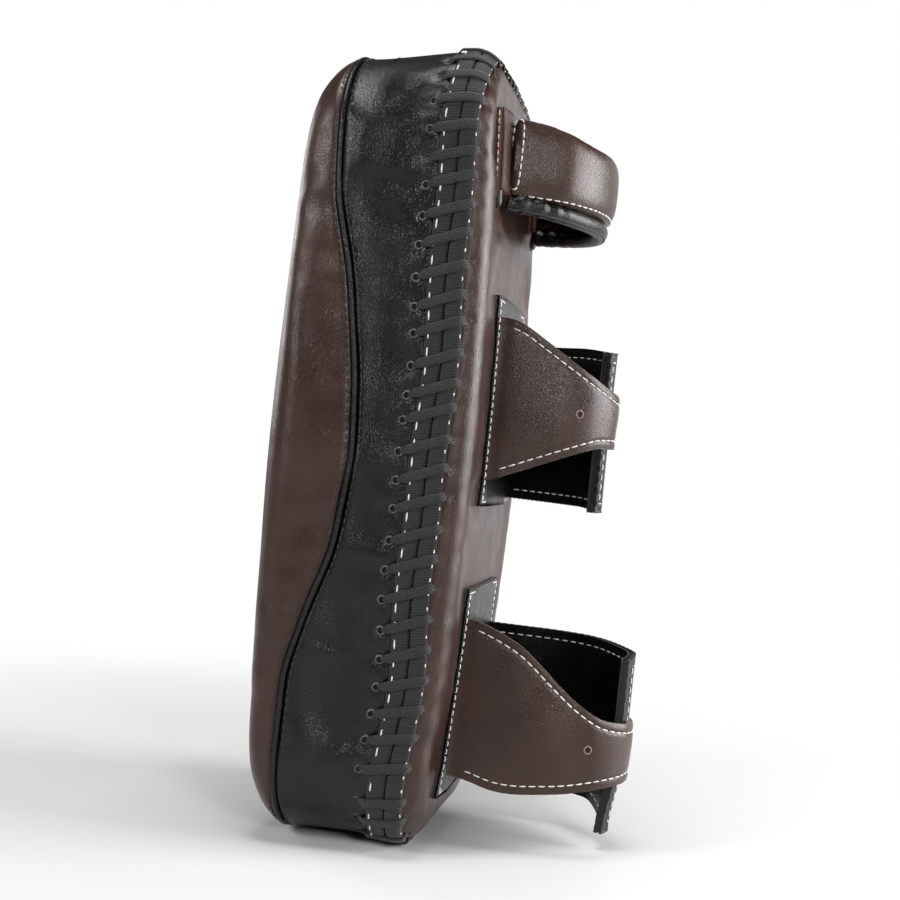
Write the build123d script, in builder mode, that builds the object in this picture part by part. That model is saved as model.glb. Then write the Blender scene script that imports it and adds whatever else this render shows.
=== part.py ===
"""Thai pad: a laced, foam-filled kick pad with a grip handle and two forearm loops.

The pad stands on its foot. +Z runs up its length, the strike face looks along -Y,
and the handle and the forearm loops stand out along +Y. The origin is the middle
of the flat foot. All sizes are in millimetres.
"""
from build123d import *
import math
import os

os.makedirs("parts", exist_ok=True)

# ---------------------------------------------------------------- driving dimensions
HEIGHT = 420.0            # foot to top of the arched crown
HALF_WIDTH = 100.0        # half the width across the flanks
FOOT_HALF_WIDTH = 90.0    # half the width where the flanks would meet the foot
FLANK_BEND_Z = 190.0      # height where the flanks start to draw in
SHOULDER_Z = 414.0        # height where the flanks would meet the crown
TOP_CORNER_R = 50.0
FOOT_CORNER_R = 46.0

FRONT_Y = -58.0
FRONT_FALL = 10.0         # how far the strike face falls back at its ends
BACK_Y = 51.0             # back panel at mid-height
BACK_FALL = 9.0
FRONT_EDGE_R = 16.0
BACK_EDGE_R = 15.0
TAPER_Y = -8.0            # behind this plane the side wall leans inwards
TAPER_DEG = 8.0
LACE_Y = 30.0             # seam between the side wall and the back panel

SKIN_T = 2.0              # cover leather
JOINT_GAP = 0.3           # clearance between neighbouring pieces
WELT_W = 3.2              # rolled welt between front cover and side wall
WELT_RISE = 1.2
TAPE_W = 9.0              # binding tape on each side of the lacing
TAPE_T = 1.2
TAPE_GAP = 0.3
CORD_W = 5.0
CORD_T = 1.4
CORD_SPAN = 25.0
CORD_SLANT = 18.0
CORD_CROSSINGS = 74

STRIKE_FOAM_BACK_Y = -24.0
CORE_FOAM_BACK_Y = 10.0
STIFFENER_T = 3.0

HANDLE_Z = 361.0          # middle of the grip
HANDLE_R = 74.5           # outer radius of the grip's arch
HANDLE_APEX_Y = 102.0
HANDLE_H = 46.0
HANDLE_T = 19.0
HANDLE_FOOT_Y = 52.6
TAB_T = 4.0
TAB_W = 22.0
TAB_H = 43.0

BASE_HALF = 44.0          # half the distance between the two sewn strap lines
PATCH_T = 2.6
PATCH_MARGIN = 6.0        # patch leather outside the strap lines
STRAP_LEATHER_T = 2.0
STRAP_LINING_T = 1.4
TOUCH_TAPE_T = 1.2
FLAP_LEATHER_T = 1.8
FLAP_PADDING_T = 1.6
FLAP_LINING_T = 1.2
LAYER_GAP = 0.1
LOOP_GAP = 0.5            # clearance between the tongue and the flap under it
TONGUE_W = 30.0
BEND_R = 16.0
RIVET_HOLE_R = 1.6
FLAP_LAP = 15.0           # flap length past the loop's apex

UPPER = {
    "base_y": 55.2,
    "patch_z": (180.0, 292.0),
    "strap_z": (196.0, 281.0),
    "flap_z": (185.0, 273.0),
    "tongue_z": 232.0,
    "path": [(BASE_HALF, 55.2), (34.0, 108.0), (-8.0, 122.0), (-41.0, 84.0)],
}
LOWER = {
    "base_y": 54.6,
    "patch_z": (24.0, 136.0),
    "strap_z": (32.0, 118.0),
    "flap_z": (20.0, 110.0),
    "tongue_z": 55.0,
    "path": [(BASE_HALF, 54.6), (37.0, 130.0), (-8.0, 149.0), (-50.0, 112.0)],
}

REACH = 300.0             # longer than the pad in every direction
MID_Z = HEIGHT / 2


def finish(piece, name):
    """Label a finished piece and write its STEP file."""
    piece.part.label = name
    export_step(piece.part, f"parts/{name}.step")


# ---------------------------------------------------------------- pad body
def outline(inset):
    """Front view of the pad as a flat face, its edge moved in by inset."""
    with BuildSketch() as face:
        with BuildLine():
            Polyline(
                (HALF_WIDTH, SHOULDER_Z),
                (HALF_WIDTH, FLANK_BEND_Z),
                (FOOT_HALF_WIDTH, 0),
                (-FOOT_HALF_WIDTH, 0),
                (-HALF_WIDTH, FLANK_BEND_Z),
                (-HALF_WIDTH, SHOULDER_Z),
            )
            ThreePointArc((-HALF_WIDTH, SHOULDER_Z), (0, HEIGHT), (HALF_WIDTH, SHOULDER_Z))
        make_face()
        fillet(vertices().group_by(Axis.Y)[0], FOOT_CORNER_R)
        fillet(vertices().group_by(Axis.Y)[-1], TOP_CORNER_R)
        if inset:
            offset(amount=-inset)
    return face.sketch


def pad_form(inset):
    """Whole pad as one closed solid, every surface moved in by inset."""
    front_y = FRONT_Y + inset
    back_y = BACK_Y - inset
    low = -10.0
    high = HEIGHT + 10.0
    sharpen = max(inset, 0)
    front_view = outline(inset)
    with BuildPart() as form:
        with BuildSketch(Plane.XZ.offset(-TAPER_Y)):
            add(front_view)
        extrude(amount=REACH)
        rear = Plane(origin=(0, TAPER_Y, 0), x_dir=(-1, 0, 0), z_dir=(0, 1, 0))
        with BuildSketch(rear):
            add(front_view)
        extrude(amount=BACK_Y - TAPER_Y + 20, taper=TAPER_DEG)
        with BuildSketch(Plane.YZ):
            with BuildLine():
                ThreePointArc((front_y + FRONT_FALL, low), (front_y, MID_Z), (front_y + FRONT_FALL, high))
                Line((front_y + FRONT_FALL, high), (back_y - BACK_FALL, high))
                ThreePointArc((back_y - BACK_FALL, high), (back_y, MID_Z), (back_y - BACK_FALL, low))
                Line((back_y - BACK_FALL, low), (front_y + FRONT_FALL, low))
            make_face()
        extrude(amount=REACH, both=True, mode=Mode.INTERSECT)
        fillet(form.faces().sort_by(Axis.Y)[0].edges(), FRONT_EDGE_R - sharpen)
        fillet(form.faces().sort_by(Axis.Y)[-1].edges(), BACK_EDGE_R - sharpen)
    return form.part


def shell_between(outer_inset, inner_inset):
    """Skin layer lying between two insets of the pad's surface."""
    outer = pad_form(outer_inset)
    inner = pad_form(inner_inset)
    with BuildPart() as shell:
        add(outer)
        add(inner, mode=Mode.SUBTRACT)
    return shell.part


def wave_zone(shift):
    """Everything in front of the wave seam, with the seam moved by shift along Y."""
    wave = [
        (-32, HEIGHT + 20),
        (-33, 395),
        (-29, 330),
        (-19, 292),
        (-11, 240),
        (-9, 200),
        (-14, 152),
        (-24, 122),
        (-33, 88),
        (-34, 40),
        (-33, -20),
    ]
    with BuildPart() as zone:
        with BuildSketch(Plane.YZ):
            with BuildLine():
                Spline(*[(y + shift, z) for y, z in wave])
                Polyline(
                    (wave[-1][0] + shift, wave[-1][1]),
                    (-REACH, wave[-1][1]),
                    (-REACH, wave[0][1]),
                    (wave[0][0] + shift, wave[0][1]),
                )
            make_face()
        extrude(amount=REACH, both=True)
    return zone.part


def slab(y_low, y_high):
    """Flat slab across the whole pad between two Y planes."""
    with BuildPart() as part:
        with Locations((0, (y_low + y_high) / 2, MID_Z)):
            Box(REACH * 2, y_high - y_low, REACH * 2)
    return part.part


def half_space_x(sign):
    """Everything on one side of the pad's middle plane, clear of the other half."""
    with BuildPart() as part:
        with Locations((sign * (REACH / 2 + JOINT_GAP / 2), 0, MID_Z)):
            Box(REACH, REACH * 2, REACH * 2)
    return part.part


skin = shell_between(0, SKIN_T)
ahead_of_welt = wave_zone(-WELT_W / 2)
behind_welt = wave_zone(WELT_W / 2)
ahead_of_lacing = slab(-REACH, LACE_Y - JOINT_GAP / 2)
behind_lacing = slab(LACE_Y + JOINT_GAP / 2, REACH)

with BuildPart() as front_cover:
    add(skin)
    add(ahead_of_welt, mode=Mode.INTERSECT)
finish(front_cover, "front_cover")

with BuildPart() as wall_band:
    add(skin)
    add(behind_welt, mode=Mode.SUBTRACT)
    add(ahead_of_lacing, mode=Mode.INTERSECT)

for wall_name, side in (("side_wall_right", 1), ("side_wall_left", -1)):
    half = half_space_x(side)
    with BuildPart() as side_wall:
        add(wall_band.part)
        add(half, mode=Mode.INTERSECT)
    finish(side_wall, wall_name)

welt_shell = shell_between(-WELT_RISE, SKIN_T)
welt_front = wave_zone(-WELT_W / 2 + JOINT_GAP)
welt_back = wave_zone(WELT_W / 2 - JOINT_GAP)
with BuildPart() as front_welt:
    add(welt_shell)
    add(welt_back, mode=Mode.INTERSECT)
    add(welt_front, mode=Mode.SUBTRACT)
finish(front_welt, "front_welt")

with BuildPart() as back_panel:
    add(skin)
    add(behind_lacing, mode=Mode.INTERSECT)
finish(back_panel, "back_panel")

# ---------------------------------------------------------------- binding and lacing
tape_shell = shell_between(-TAPE_GAP - TAPE_T, -TAPE_GAP)
tape_edges = (
    ("binding_side_edge", LACE_Y - TAPE_W - JOINT_GAP / 2),
    ("binding_back_edge", LACE_Y + JOINT_GAP / 2),
)
for tape_name, tape_y in tape_edges:
    tape_zone = slab(tape_y, tape_y + TAPE_W)
    with BuildPart() as binding:
        add(tape_shell)
        add(tape_zone, mode=Mode.INTERSECT)
    finish(binding, tape_name)

cord_inset = -TAPE_GAP - TAPE_T - LAYER_GAP
cord_shell = shell_between(cord_inset - CORD_T, cord_inset)
lean = (LACE_Y - TAPER_Y) * math.tan(math.radians(TAPER_DEG))
lacing_outline = outline(lean)
with BuildSketch(Plane.XZ.offset(-LACE_Y)) as lacing_ring:
    add(lacing_outline)
lacing_wire = lacing_ring.sketch.faces()[0].outer_wire()


def crossing(index):
    """Placement of one lace crossing: X along the seam, Y across it, Z outwards."""
    along = (index + 0.5) / CORD_CROSSINGS
    tangent = lacing_wire.tangent_at(along)
    outwards = Vector(0, 1, 0).cross(tangent)
    seat = Plane(origin=lacing_wire.position_at(along), x_dir=tangent, z_dir=outwards)
    return seat.rotated((0, 0, CORD_SLANT)).location


with BuildPart() as lacing_cord:
    with Locations(*[crossing(i) for i in range(CORD_CROSSINGS)]):
        Box(CORD_W, CORD_SPAN, 24)
    add(cord_shell, mode=Mode.INTERSECT)
finish(lacing_cord, "lacing_cord")

# ---------------------------------------------------------------- filling
filling = pad_form(SKIN_T + JOINT_GAP)
filling_layers = (
    ("strike_foam", -REACH, STRIKE_FOAM_BACK_Y),
    ("core_foam", STRIKE_FOAM_BACK_Y + JOINT_GAP, CORE_FOAM_BACK_Y),
    ("stiffener_sheet", CORE_FOAM_BACK_Y + JOINT_GAP, CORE_FOAM_BACK_Y + JOINT_GAP + STIFFENER_T),
    ("back_foam", CORE_FOAM_BACK_Y + 2 * JOINT_GAP + STIFFENER_T, REACH),
)
for layer_name, layer_front, layer_back in filling_layers:
    layer_zone = slab(layer_front, layer_back)
    with BuildPart() as layer:
        add(filling)
        add(layer_zone, mode=Mode.INTERSECT)
    finish(layer, layer_name)

# ---------------------------------------------------------------- handle
HANDLE_AXIS_Y = HANDLE_APEX_Y - HANDLE_R
COVER_T = 2.2
ROLL_R = 4.0
HANDLE_TOP_Z = HANDLE_Z + HANDLE_H / 2
HANDLE_LOW_Z = HANDLE_Z - HANDLE_H / 2

with BuildPart() as handle_zone:
    with Locations((0, HANDLE_FOOT_Y + REACH / 2, HANDLE_Z)):
        Box(REACH, REACH, REACH)

radial_plane = Plane(origin=(0, HANDLE_AXIS_Y, 0), x_dir=(1, 0, 0), z_dir=(0, -1, 0))
handle_axis = Axis((0, HANDLE_AXIS_Y, 0), (0, 0, 1))
grip_middle_r = HANDLE_R - HANDLE_T / 2


def grip_section(shrink):
    """Rounded grip section at its radius from the arch's axis, made smaller by shrink."""
    with BuildSketch() as section:
        with Locations((grip_middle_r, HANDLE_Z)):
            RectangleRounded(
                HANDLE_T - 2 * shrink,
                HANDLE_H - 2 * shrink,
                HANDLE_T / 2 - shrink - 0.2,
            )
    return section.sketch


cover_section = grip_section(0)
hollow_section = grip_section(COVER_T)
foam_section = grip_section(COVER_T + JOINT_GAP)

with BuildPart() as handle_skin:
    with BuildSketch(radial_plane):
        add(cover_section)
        add(hollow_section, mode=Mode.SUBTRACT)
    revolve(axis=handle_axis)
    add(handle_zone.part, mode=Mode.INTERSECT)

with BuildPart() as inside_arch:
    with Locations((0, HANDLE_AXIS_Y, HANDLE_Z)):
        Cylinder(grip_middle_r, REACH)

with BuildPart() as handle_cover:
    add(handle_skin.part)
    add(inside_arch.part, mode=Mode.SUBTRACT)
finish(handle_cover, "handle_cover")

with BuildPart() as inside_lining:
    with Locations((0, HANDLE_AXIS_Y, HANDLE_Z)):
        Cylinder(grip_middle_r - JOINT_GAP, REACH)

with BuildPart() as handle_lining:
    add(handle_skin.part)
    add(inside_lining.part, mode=Mode.INTERSECT)
finish(handle_lining, "handle_lining")

with BuildPart() as handle_foam:
    with BuildSketch(radial_plane):
        add(foam_section)
    revolve(axis=handle_axis)
    add(handle_zone.part, mode=Mode.INTERSECT)
finish(handle_foam, "handle_foam")

with BuildPart() as handle_roll:
    with BuildSketch(radial_plane):
        with Locations((grip_middle_r - 2.0, HANDLE_LOW_Z - ROLL_R - JOINT_GAP)):
            Circle(ROLL_R)
    revolve(axis=handle_axis)
    add(handle_zone.part, mode=Mode.INTERSECT)
finish(handle_roll, "handle_roll")

tab_layer = shell_between(-LAYER_GAP - TAB_T, -LAYER_GAP)
tab_x = math.sqrt(HANDLE_R**2 - (HANDLE_FOOT_Y - HANDLE_AXIS_Y) ** 2) - TAB_W / 2 + 6
for tab_name, side in (("handle_tab_right", 1), ("handle_tab_left", -1)):
    with BuildPart() as handle_tab:
        with Locations((side * tab_x, BACK_Y, HANDLE_Z + 2)):
            Box(TAB_W, 40, TAB_H)
        add(tab_layer, mode=Mode.INTERSECT)
    finish(handle_tab, tab_name)

# ---------------------------------------------------------------- forearm loops
patch_layer = shell_between(-LAYER_GAP - PATCH_T, -LAYER_GAP)


def offset_corners(points, inwards):
    """Corner points of a polyline moved to its left by inwards, with mitred corners."""
    normals = []
    for start, end in zip(points[:-1], points[1:]):
        run = Vector(*end) - Vector(*start)
        normals.append(Vector(-run.Y, run.X).normalized())
    moved = [Vector(*points[0]) + normals[0] * inwards]
    for corner, before, after in zip(points[1:-1], normals[:-1], normals[1:]):
        bisector = (before + after).normalized()
        moved.append(Vector(*corner) + bisector * (inwards / bisector.dot(before)))
    moved.append(Vector(*points[-1]) + normals[-1] * inwards)
    return [(point.X, point.Y) for point in moved]


def band(points, near, far, z_low, z_high):
    """Bent sheet between two offsets of a plan-view polyline, from z_low to z_high."""
    outer = offset_corners(points, near)
    inner = offset_corners(points, far)
    with BuildPart() as sheet:
        with BuildSketch(Plane.XY.offset(z_low)):
            with BuildLine():
                FilletPolyline(*outer, radius=BEND_R - near)
                FilletPolyline(*inner, radius=BEND_R - far)
                Line(outer[0], inner[0])
                Line(outer[-1], inner[-1])
            make_face()
        extrude(amount=z_high - z_low)
    return sheet.part


def flat_band(points, near, far, z_low, z_high):
    """Straight piece of tape between two offsets of a single line."""
    outer = offset_corners(points, near)
    inner = offset_corners(points, far)
    with BuildPart() as tape:
        with BuildSketch(Plane.XY.offset(z_low)):
            with BuildLine():
                Polyline(outer[0], outer[1], inner[1], inner[0], close=True)
            make_face()
        extrude(amount=z_high - z_low)
    return tape


def strap_blank(loop):
    """Side-view cutting shape: wide at the sewn line, narrow at the tongue."""
    low, high = loop["strap_z"]
    apex_y = max(y for _, y in loop["path"])
    tongue_low = loop["tongue_z"] - TONGUE_W / 2
    tongue_high = loop["tongue_z"] + TONGUE_W / 2
    near_y = loop["base_y"] - 5
    turn_y = apex_y - 8
    with BuildPart() as blank:
        with BuildSketch(Plane.YZ):
            with BuildLine():
                Polyline(
                    (near_y, low),
                    (turn_y, tongue_low),
                    (apex_y + 5, tongue_low),
                    (apex_y + 5, tongue_high),
                    (turn_y, tongue_high),
                    (near_y + 12, high),
                    (near_y, high),
                    close=True,
                )
            make_face()
        extrude(amount=REACH)
        with BuildSketch(Plane.YZ):
            with Locations(((near_y + apex_y) / 2 + 5, loop["tongue_z"])):
                Rectangle(apex_y - near_y, TONGUE_W)
        extrude(amount=-REACH)
    return blank.part


def make_loop(prefix, loop):
    """One forearm loop: base patch, tapered strap and the flap that its tongue grips."""
    patch_low, patch_high = loop["patch_z"]
    with BuildPart() as patch:
        with Locations((0, BACK_Y, (patch_low + patch_high) / 2)):
            Box(2 * (BASE_HALF + PATCH_MARGIN), 40, patch_high - patch_low)
        add(patch_layer, mode=Mode.INTERSECT)
    finish(patch, f"{prefix}_base_patch")

    # The strap's layers, counted inwards from its outer face.
    path = loop["path"]
    lining_start = STRAP_LEATHER_T + LAYER_GAP
    hook_start = lining_start + STRAP_LINING_T + LAYER_GAP
    hook_end = hook_start + TOUCH_TAPE_T
    blank = strap_blank(loop)
    low, high = loop["strap_z"]
    layers = (
        ("strap", band(path, 0, STRAP_LEATHER_T, low, high)),
        ("strap_lining", band(path, lining_start, lining_start + STRAP_LINING_T, low, high)),
    )
    for name, sheet in layers:
        with BuildPart() as strap:
            add(sheet)
            add(blank, mode=Mode.INTERSECT)
            with BuildSketch(Plane.YZ):
                with Locations((path[1][1] - 14, loop["tongue_z"] + 3)):
                    Circle(RIVET_HOLE_R)
            extrude(amount=REACH, mode=Mode.SUBTRACT)
        finish(strap, f"{prefix}_{name}")

    # Touch tape sits on the tongue's far side only, past the apex.
    far_side = [path[2], path[3]]
    reach_down = Vector(*path[3]) - Vector(*path[2])
    tape_from = Vector(*path[2]) + reach_down.normalized() * BEND_R
    tape_path = [(tape_from.X, tape_from.Y), path[3]]
    tape_low = loop["tongue_z"] - TONGUE_W / 2 + 2
    tape_high = loop["tongue_z"] + TONGUE_W / 2 - 2
    hook = flat_band(tape_path, hook_start, hook_end, tape_low, tape_high)
    finish(hook, f"{prefix}_hook_tape")

    loop_start = hook_end + LOOP_GAP
    loop_tape = flat_band(tape_path, loop_start, loop_start + TOUCH_TAPE_T, tape_low - 8, tape_high + 8)
    finish(loop_tape, f"{prefix}_loop_tape")

    # The flap follows the inside of the tongue and ends just past the apex.
    flap_start = loop_start + TOUCH_TAPE_T + LAYER_GAP
    under = offset_corners([path[1], *far_side], flap_start)
    towards = (Vector(*under[0]) - Vector(*under[1])).normalized() * FLAP_LAP
    flap_end = Vector(*under[1]) + towards
    flap_path = [(flap_end.X, flap_end.Y), under[1], under[2], (-BASE_HALF, loop["base_y"])]
    padding_start = FLAP_LEATHER_T + LAYER_GAP
    flap_lining_start = padding_start + FLAP_PADDING_T + LAYER_GAP
    flap_low, flap_high = loop["flap_z"]
    flap_layers = (
        ("flap", 0, FLAP_LEATHER_T, 0),
        ("flap_padding", padding_start, padding_start + FLAP_PADDING_T, 4),
        ("flap_lining", flap_lining_start, flap_lining_start + FLAP_LINING_T, 0),
    )
    for name, near, far, trim in flap_layers:
        sheet = band(flap_path, near, far, flap_low + trim, flap_high - trim)
        with BuildPart() as flap:
            add(sheet)
        finish(flap, f"{prefix}_{name}")


make_loop("upper", UPPER)
make_loop("lower", LOWER)
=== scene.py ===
"""Looks for the thai pad: leather panels, lacing, handle and forearm loops around the CAD frame."""
import math

import bmesh
import bpy
import numpy as np
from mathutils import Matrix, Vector
from mathutils.bvhtree import BVHTree


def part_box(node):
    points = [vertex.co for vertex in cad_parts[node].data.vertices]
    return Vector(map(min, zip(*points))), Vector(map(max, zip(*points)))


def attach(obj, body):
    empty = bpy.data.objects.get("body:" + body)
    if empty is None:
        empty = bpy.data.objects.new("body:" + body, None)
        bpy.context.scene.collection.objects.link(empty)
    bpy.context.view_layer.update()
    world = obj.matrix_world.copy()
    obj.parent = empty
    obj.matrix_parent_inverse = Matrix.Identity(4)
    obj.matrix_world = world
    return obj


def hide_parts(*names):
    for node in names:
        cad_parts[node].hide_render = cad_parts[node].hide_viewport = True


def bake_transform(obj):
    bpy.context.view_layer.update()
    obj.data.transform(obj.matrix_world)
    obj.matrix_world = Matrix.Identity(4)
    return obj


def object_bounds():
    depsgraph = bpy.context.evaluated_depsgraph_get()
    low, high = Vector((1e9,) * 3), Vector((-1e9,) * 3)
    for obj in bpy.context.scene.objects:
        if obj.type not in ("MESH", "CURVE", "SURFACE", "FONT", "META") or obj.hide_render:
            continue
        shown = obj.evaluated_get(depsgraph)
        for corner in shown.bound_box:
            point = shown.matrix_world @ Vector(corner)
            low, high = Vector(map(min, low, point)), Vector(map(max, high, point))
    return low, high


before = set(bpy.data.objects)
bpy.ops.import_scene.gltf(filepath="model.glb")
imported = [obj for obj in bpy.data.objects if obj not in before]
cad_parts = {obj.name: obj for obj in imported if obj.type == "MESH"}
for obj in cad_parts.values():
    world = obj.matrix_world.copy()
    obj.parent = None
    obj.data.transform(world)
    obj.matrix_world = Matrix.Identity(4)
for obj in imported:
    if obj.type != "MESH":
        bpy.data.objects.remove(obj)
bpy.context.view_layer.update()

MM = 0.001


# ---------------------------------------------------------------- sizes from the frame
def box_mm(node):
    """Lowest and highest corner of a CAD node, in millimetres."""
    low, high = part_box(node)
    return np.array(low) / MM, np.array(high) / MM


wall_low, wall_high = box_mm("side_wall_right")
back_low, back_high = box_mm("back_panel")
cover_low, cover_high = box_mm("front_cover")

HEIGHT = wall_high[2]
MID_Z = HEIGHT / 2
HALF_W = cover_high[0]
FRONT_Y = cover_low[1]
BACK_Y = back_high[1]
LACE_Y = wall_high[1]
FOOT_HALF_W = 0.9 * HALF_W
FLANK_BEND_Z = 190.0
SHOULDER_Z = HEIGHT - 6.0
TOP_R = 50.0
FOOT_R = 46.0
FRONT_FALL = 11.0
BACK_FALL = 9.0
FRONT_R = 18.0
BACK_R = 15.0
TAPER = math.tan(math.radians(8.0))
TAPER_Y = -8.0
SPINE_LOW = 100.0
SPINE_HIGH = 322.0

TAPE_W = 9.4
TAPE_T = 1.2
RIB_PITCH = 1.35
LEATHER_T = 1.6
TOUCH_T = 1.0
STRAP_T = 2.2
CORD_W = 5.0
LACES = 76


# ---------------------------------------------------------------- small helpers
def smooth(a, b, x):
    """0 below a, 1 above b, with a smooth step between."""
    t = np.clip((np.asarray(x, float) - a) / (b - a), 0, 1)
    return t * t * (3 - 2 * t)


def unit(v):
    v = np.asarray(v, float)
    return v / np.maximum(np.linalg.norm(v, axis=-1, keepdims=True), 1e-12)


def new_mesh(name, points, faces, materials, uv=None, face_material=None):
    """Mesh object from points in millimetres, shaded smooth."""
    mesh = bpy.data.meshes.new(name)
    mesh.from_pydata((np.asarray(points) * MM).tolist(), [], faces)
    for material in materials:
        mesh.materials.append(material)
    if face_material is not None:
        mesh.polygons.foreach_set("material_index", np.asarray(face_material, np.int32))
    if uv is not None:
        layer = mesh.uv_layers.new(name="map")
        loops = np.empty(len(mesh.loops), np.int32)
        mesh.loops.foreach_get("vertex_index", loops)
        layer.data.foreach_set("uv", np.asarray(uv, np.float32)[loops].ravel())
    mesh.polygons.foreach_set("use_smooth", np.ones(len(mesh.polygons), bool))
    mesh.update()
    obj = bpy.data.objects.new(name, mesh)
    bpy.context.scene.collection.objects.link(obj)
    return obj


def weld(obj, gap_mm):
    """Join vertices that share a place, so that halves meeting at a middle line become one surface."""
    mesh = bmesh.new()
    mesh.from_mesh(obj.data)
    bmesh.ops.remove_doubles(mesh, verts=mesh.verts, dist=gap_mm * MM)
    bmesh.ops.recalc_face_normals(mesh, faces=mesh.faces)
    mesh.to_mesh(obj.data)
    mesh.free()
    obj.data.polygons.foreach_set("use_smooth", np.ones(len(obj.data.polygons), bool))


def grid_faces(rows, columns, closed_rows=False, closed_columns=False, start=0):
    """Quads of a grid stored row by row; a closed direction wraps round."""
    faces = []
    for i in range(rows if closed_rows else rows - 1):
        for j in range(columns if closed_columns else columns - 1):
            a = start + i * columns + j
            b = start + i * columns + (j + 1) % columns
            c = start + ((i + 1) % rows) * columns + (j + 1) % columns
            d = start + ((i + 1) % rows) * columns + j
            faces.append((a, b, c, d))
    return faces


def resample(points, count):
    """count points at even spacing along an open polyline."""
    points = np.asarray(points, float)
    step = np.linalg.norm(np.diff(points, axis=0), axis=1)
    along = np.concatenate([[0], np.cumsum(step)])
    at = np.linspace(0, along[-1], count)
    return np.stack([np.interp(at, along, points[:, k]) for k in range(points.shape[1])], 1)


def path_length(points):
    return float(np.linalg.norm(np.diff(np.asarray(points, float), axis=0), axis=1).sum())


def tangents(points, closed=False):
    points = np.asarray(points, float)
    if closed:
        return unit(np.roll(points, -1, 0) - np.roll(points, 1, 0))
    return unit(np.gradient(points, axis=0))


# ---------------------------------------------------------------- pad surface
def outline_points(count):
    """Front-view outline of the pad as evenly spaced (x, z) points, starting at the foot's middle."""
    corner_list = [
        ((FOOT_HALF_W, 0.0), FOOT_R),
        ((HALF_W, FLANK_BEND_Z), 320.0),
        ((HALF_W, SHOULDER_Z), TOP_R),
    ]
    half = [np.array([0.0, 0.0])]
    anchors = [np.array([0.0, 0.0])] + [np.array(c) for c, _ in corner_list]
    anchors.append(np.array([0.0, HEIGHT + 1.0]))
    for k, (corner, radius) in enumerate(corner_list, start=1):
        corner = np.array(corner)
        before = unit(anchors[k - 1] - corner)
        after = unit(anchors[k + 1] - corner)
        angle = math.acos(float(np.clip(before @ after, -1, 1)))
        setback = radius / math.tan(angle / 2)
        centre = corner + unit(before + after) * radius / math.sin(angle / 2)
        start = corner + before * setback - centre
        stop = corner + after * setback - centre
        for t in np.linspace(0, 1, 40):
            spoke = unit(start * (1 - t) + stop * t)
            half.append(centre + spoke * radius)
    half.append(np.array([0.0, HEIGHT]))
    half = np.array(half)
    crown_flat = (half[:, 1] > HEIGHT - 12) & (np.abs(half[:, 0]) < HALF_W - TOP_R)
    half[crown_flat, 1] = np.minimum(half[crown_flat, 1], HEIGHT)
    other = half[::-1] * np.array([-1.0, 1.0])
    ring = resample(np.concatenate([half, other[1:]]), count + 1)[:-1]
    for _ in range(6):
        ring = (np.roll(ring, 1, 0) + 2 * ring + np.roll(ring, -1, 0)) / 4
    return ring


RING = outline_points(2400)
RING_LEN = path_length(np.vstack([RING, RING[:1]]))


def outline_at(u):
    """Outline point (x, z) at u, which runs from 0 to 1 round the pad."""
    at = (np.asarray(u, float) % 1.0) * len(RING)
    low = np.floor(at).astype(int) % len(RING)
    part = (at - np.floor(at))[..., None]
    return RING[low] * (1 - part) + RING[(low + 1) % len(RING)] * part


def front_y(z):
    return FRONT_Y + FRONT_FALL * ((z - MID_Z) / MID_Z) ** 2 * 0.92


def back_y(z):
    return BACK_Y - BACK_FALL * ((z - MID_Z) / MID_Z) ** 2


def lace_y(z):
    """Depth of the lacing seam: it dips towards the front near the foot."""
    dip = 7.0 * (1 - smooth(10, 110, z))
    ripple = 1.0 * np.sin(z / 31.0) + 0.6 * np.sin(z / 13.0 + 1.0)
    return LACE_Y - dip + ripple


def seam_y(z):
    """Depth of the wave seam between the front cover and the side wall."""
    knots_z = [-10, 40, 88, 122, 152, 200, 240, 292, 330, 395, 430]
    knots_y = [-33, -34, -33, -24, -14, -8.5, -11, -19, -29, -33, -32]
    fine_z = np.linspace(-10, 430, 441)
    fine_y = np.interp(fine_z, knots_z, knots_y)
    for _ in range(60):
        fine_y[1:-1] = (fine_y[:-2] + 2 * fine_y[1:-1] + fine_y[2:]) / 4
    return np.interp(z, fine_z, fine_y)


PROFILE = 260


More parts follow.
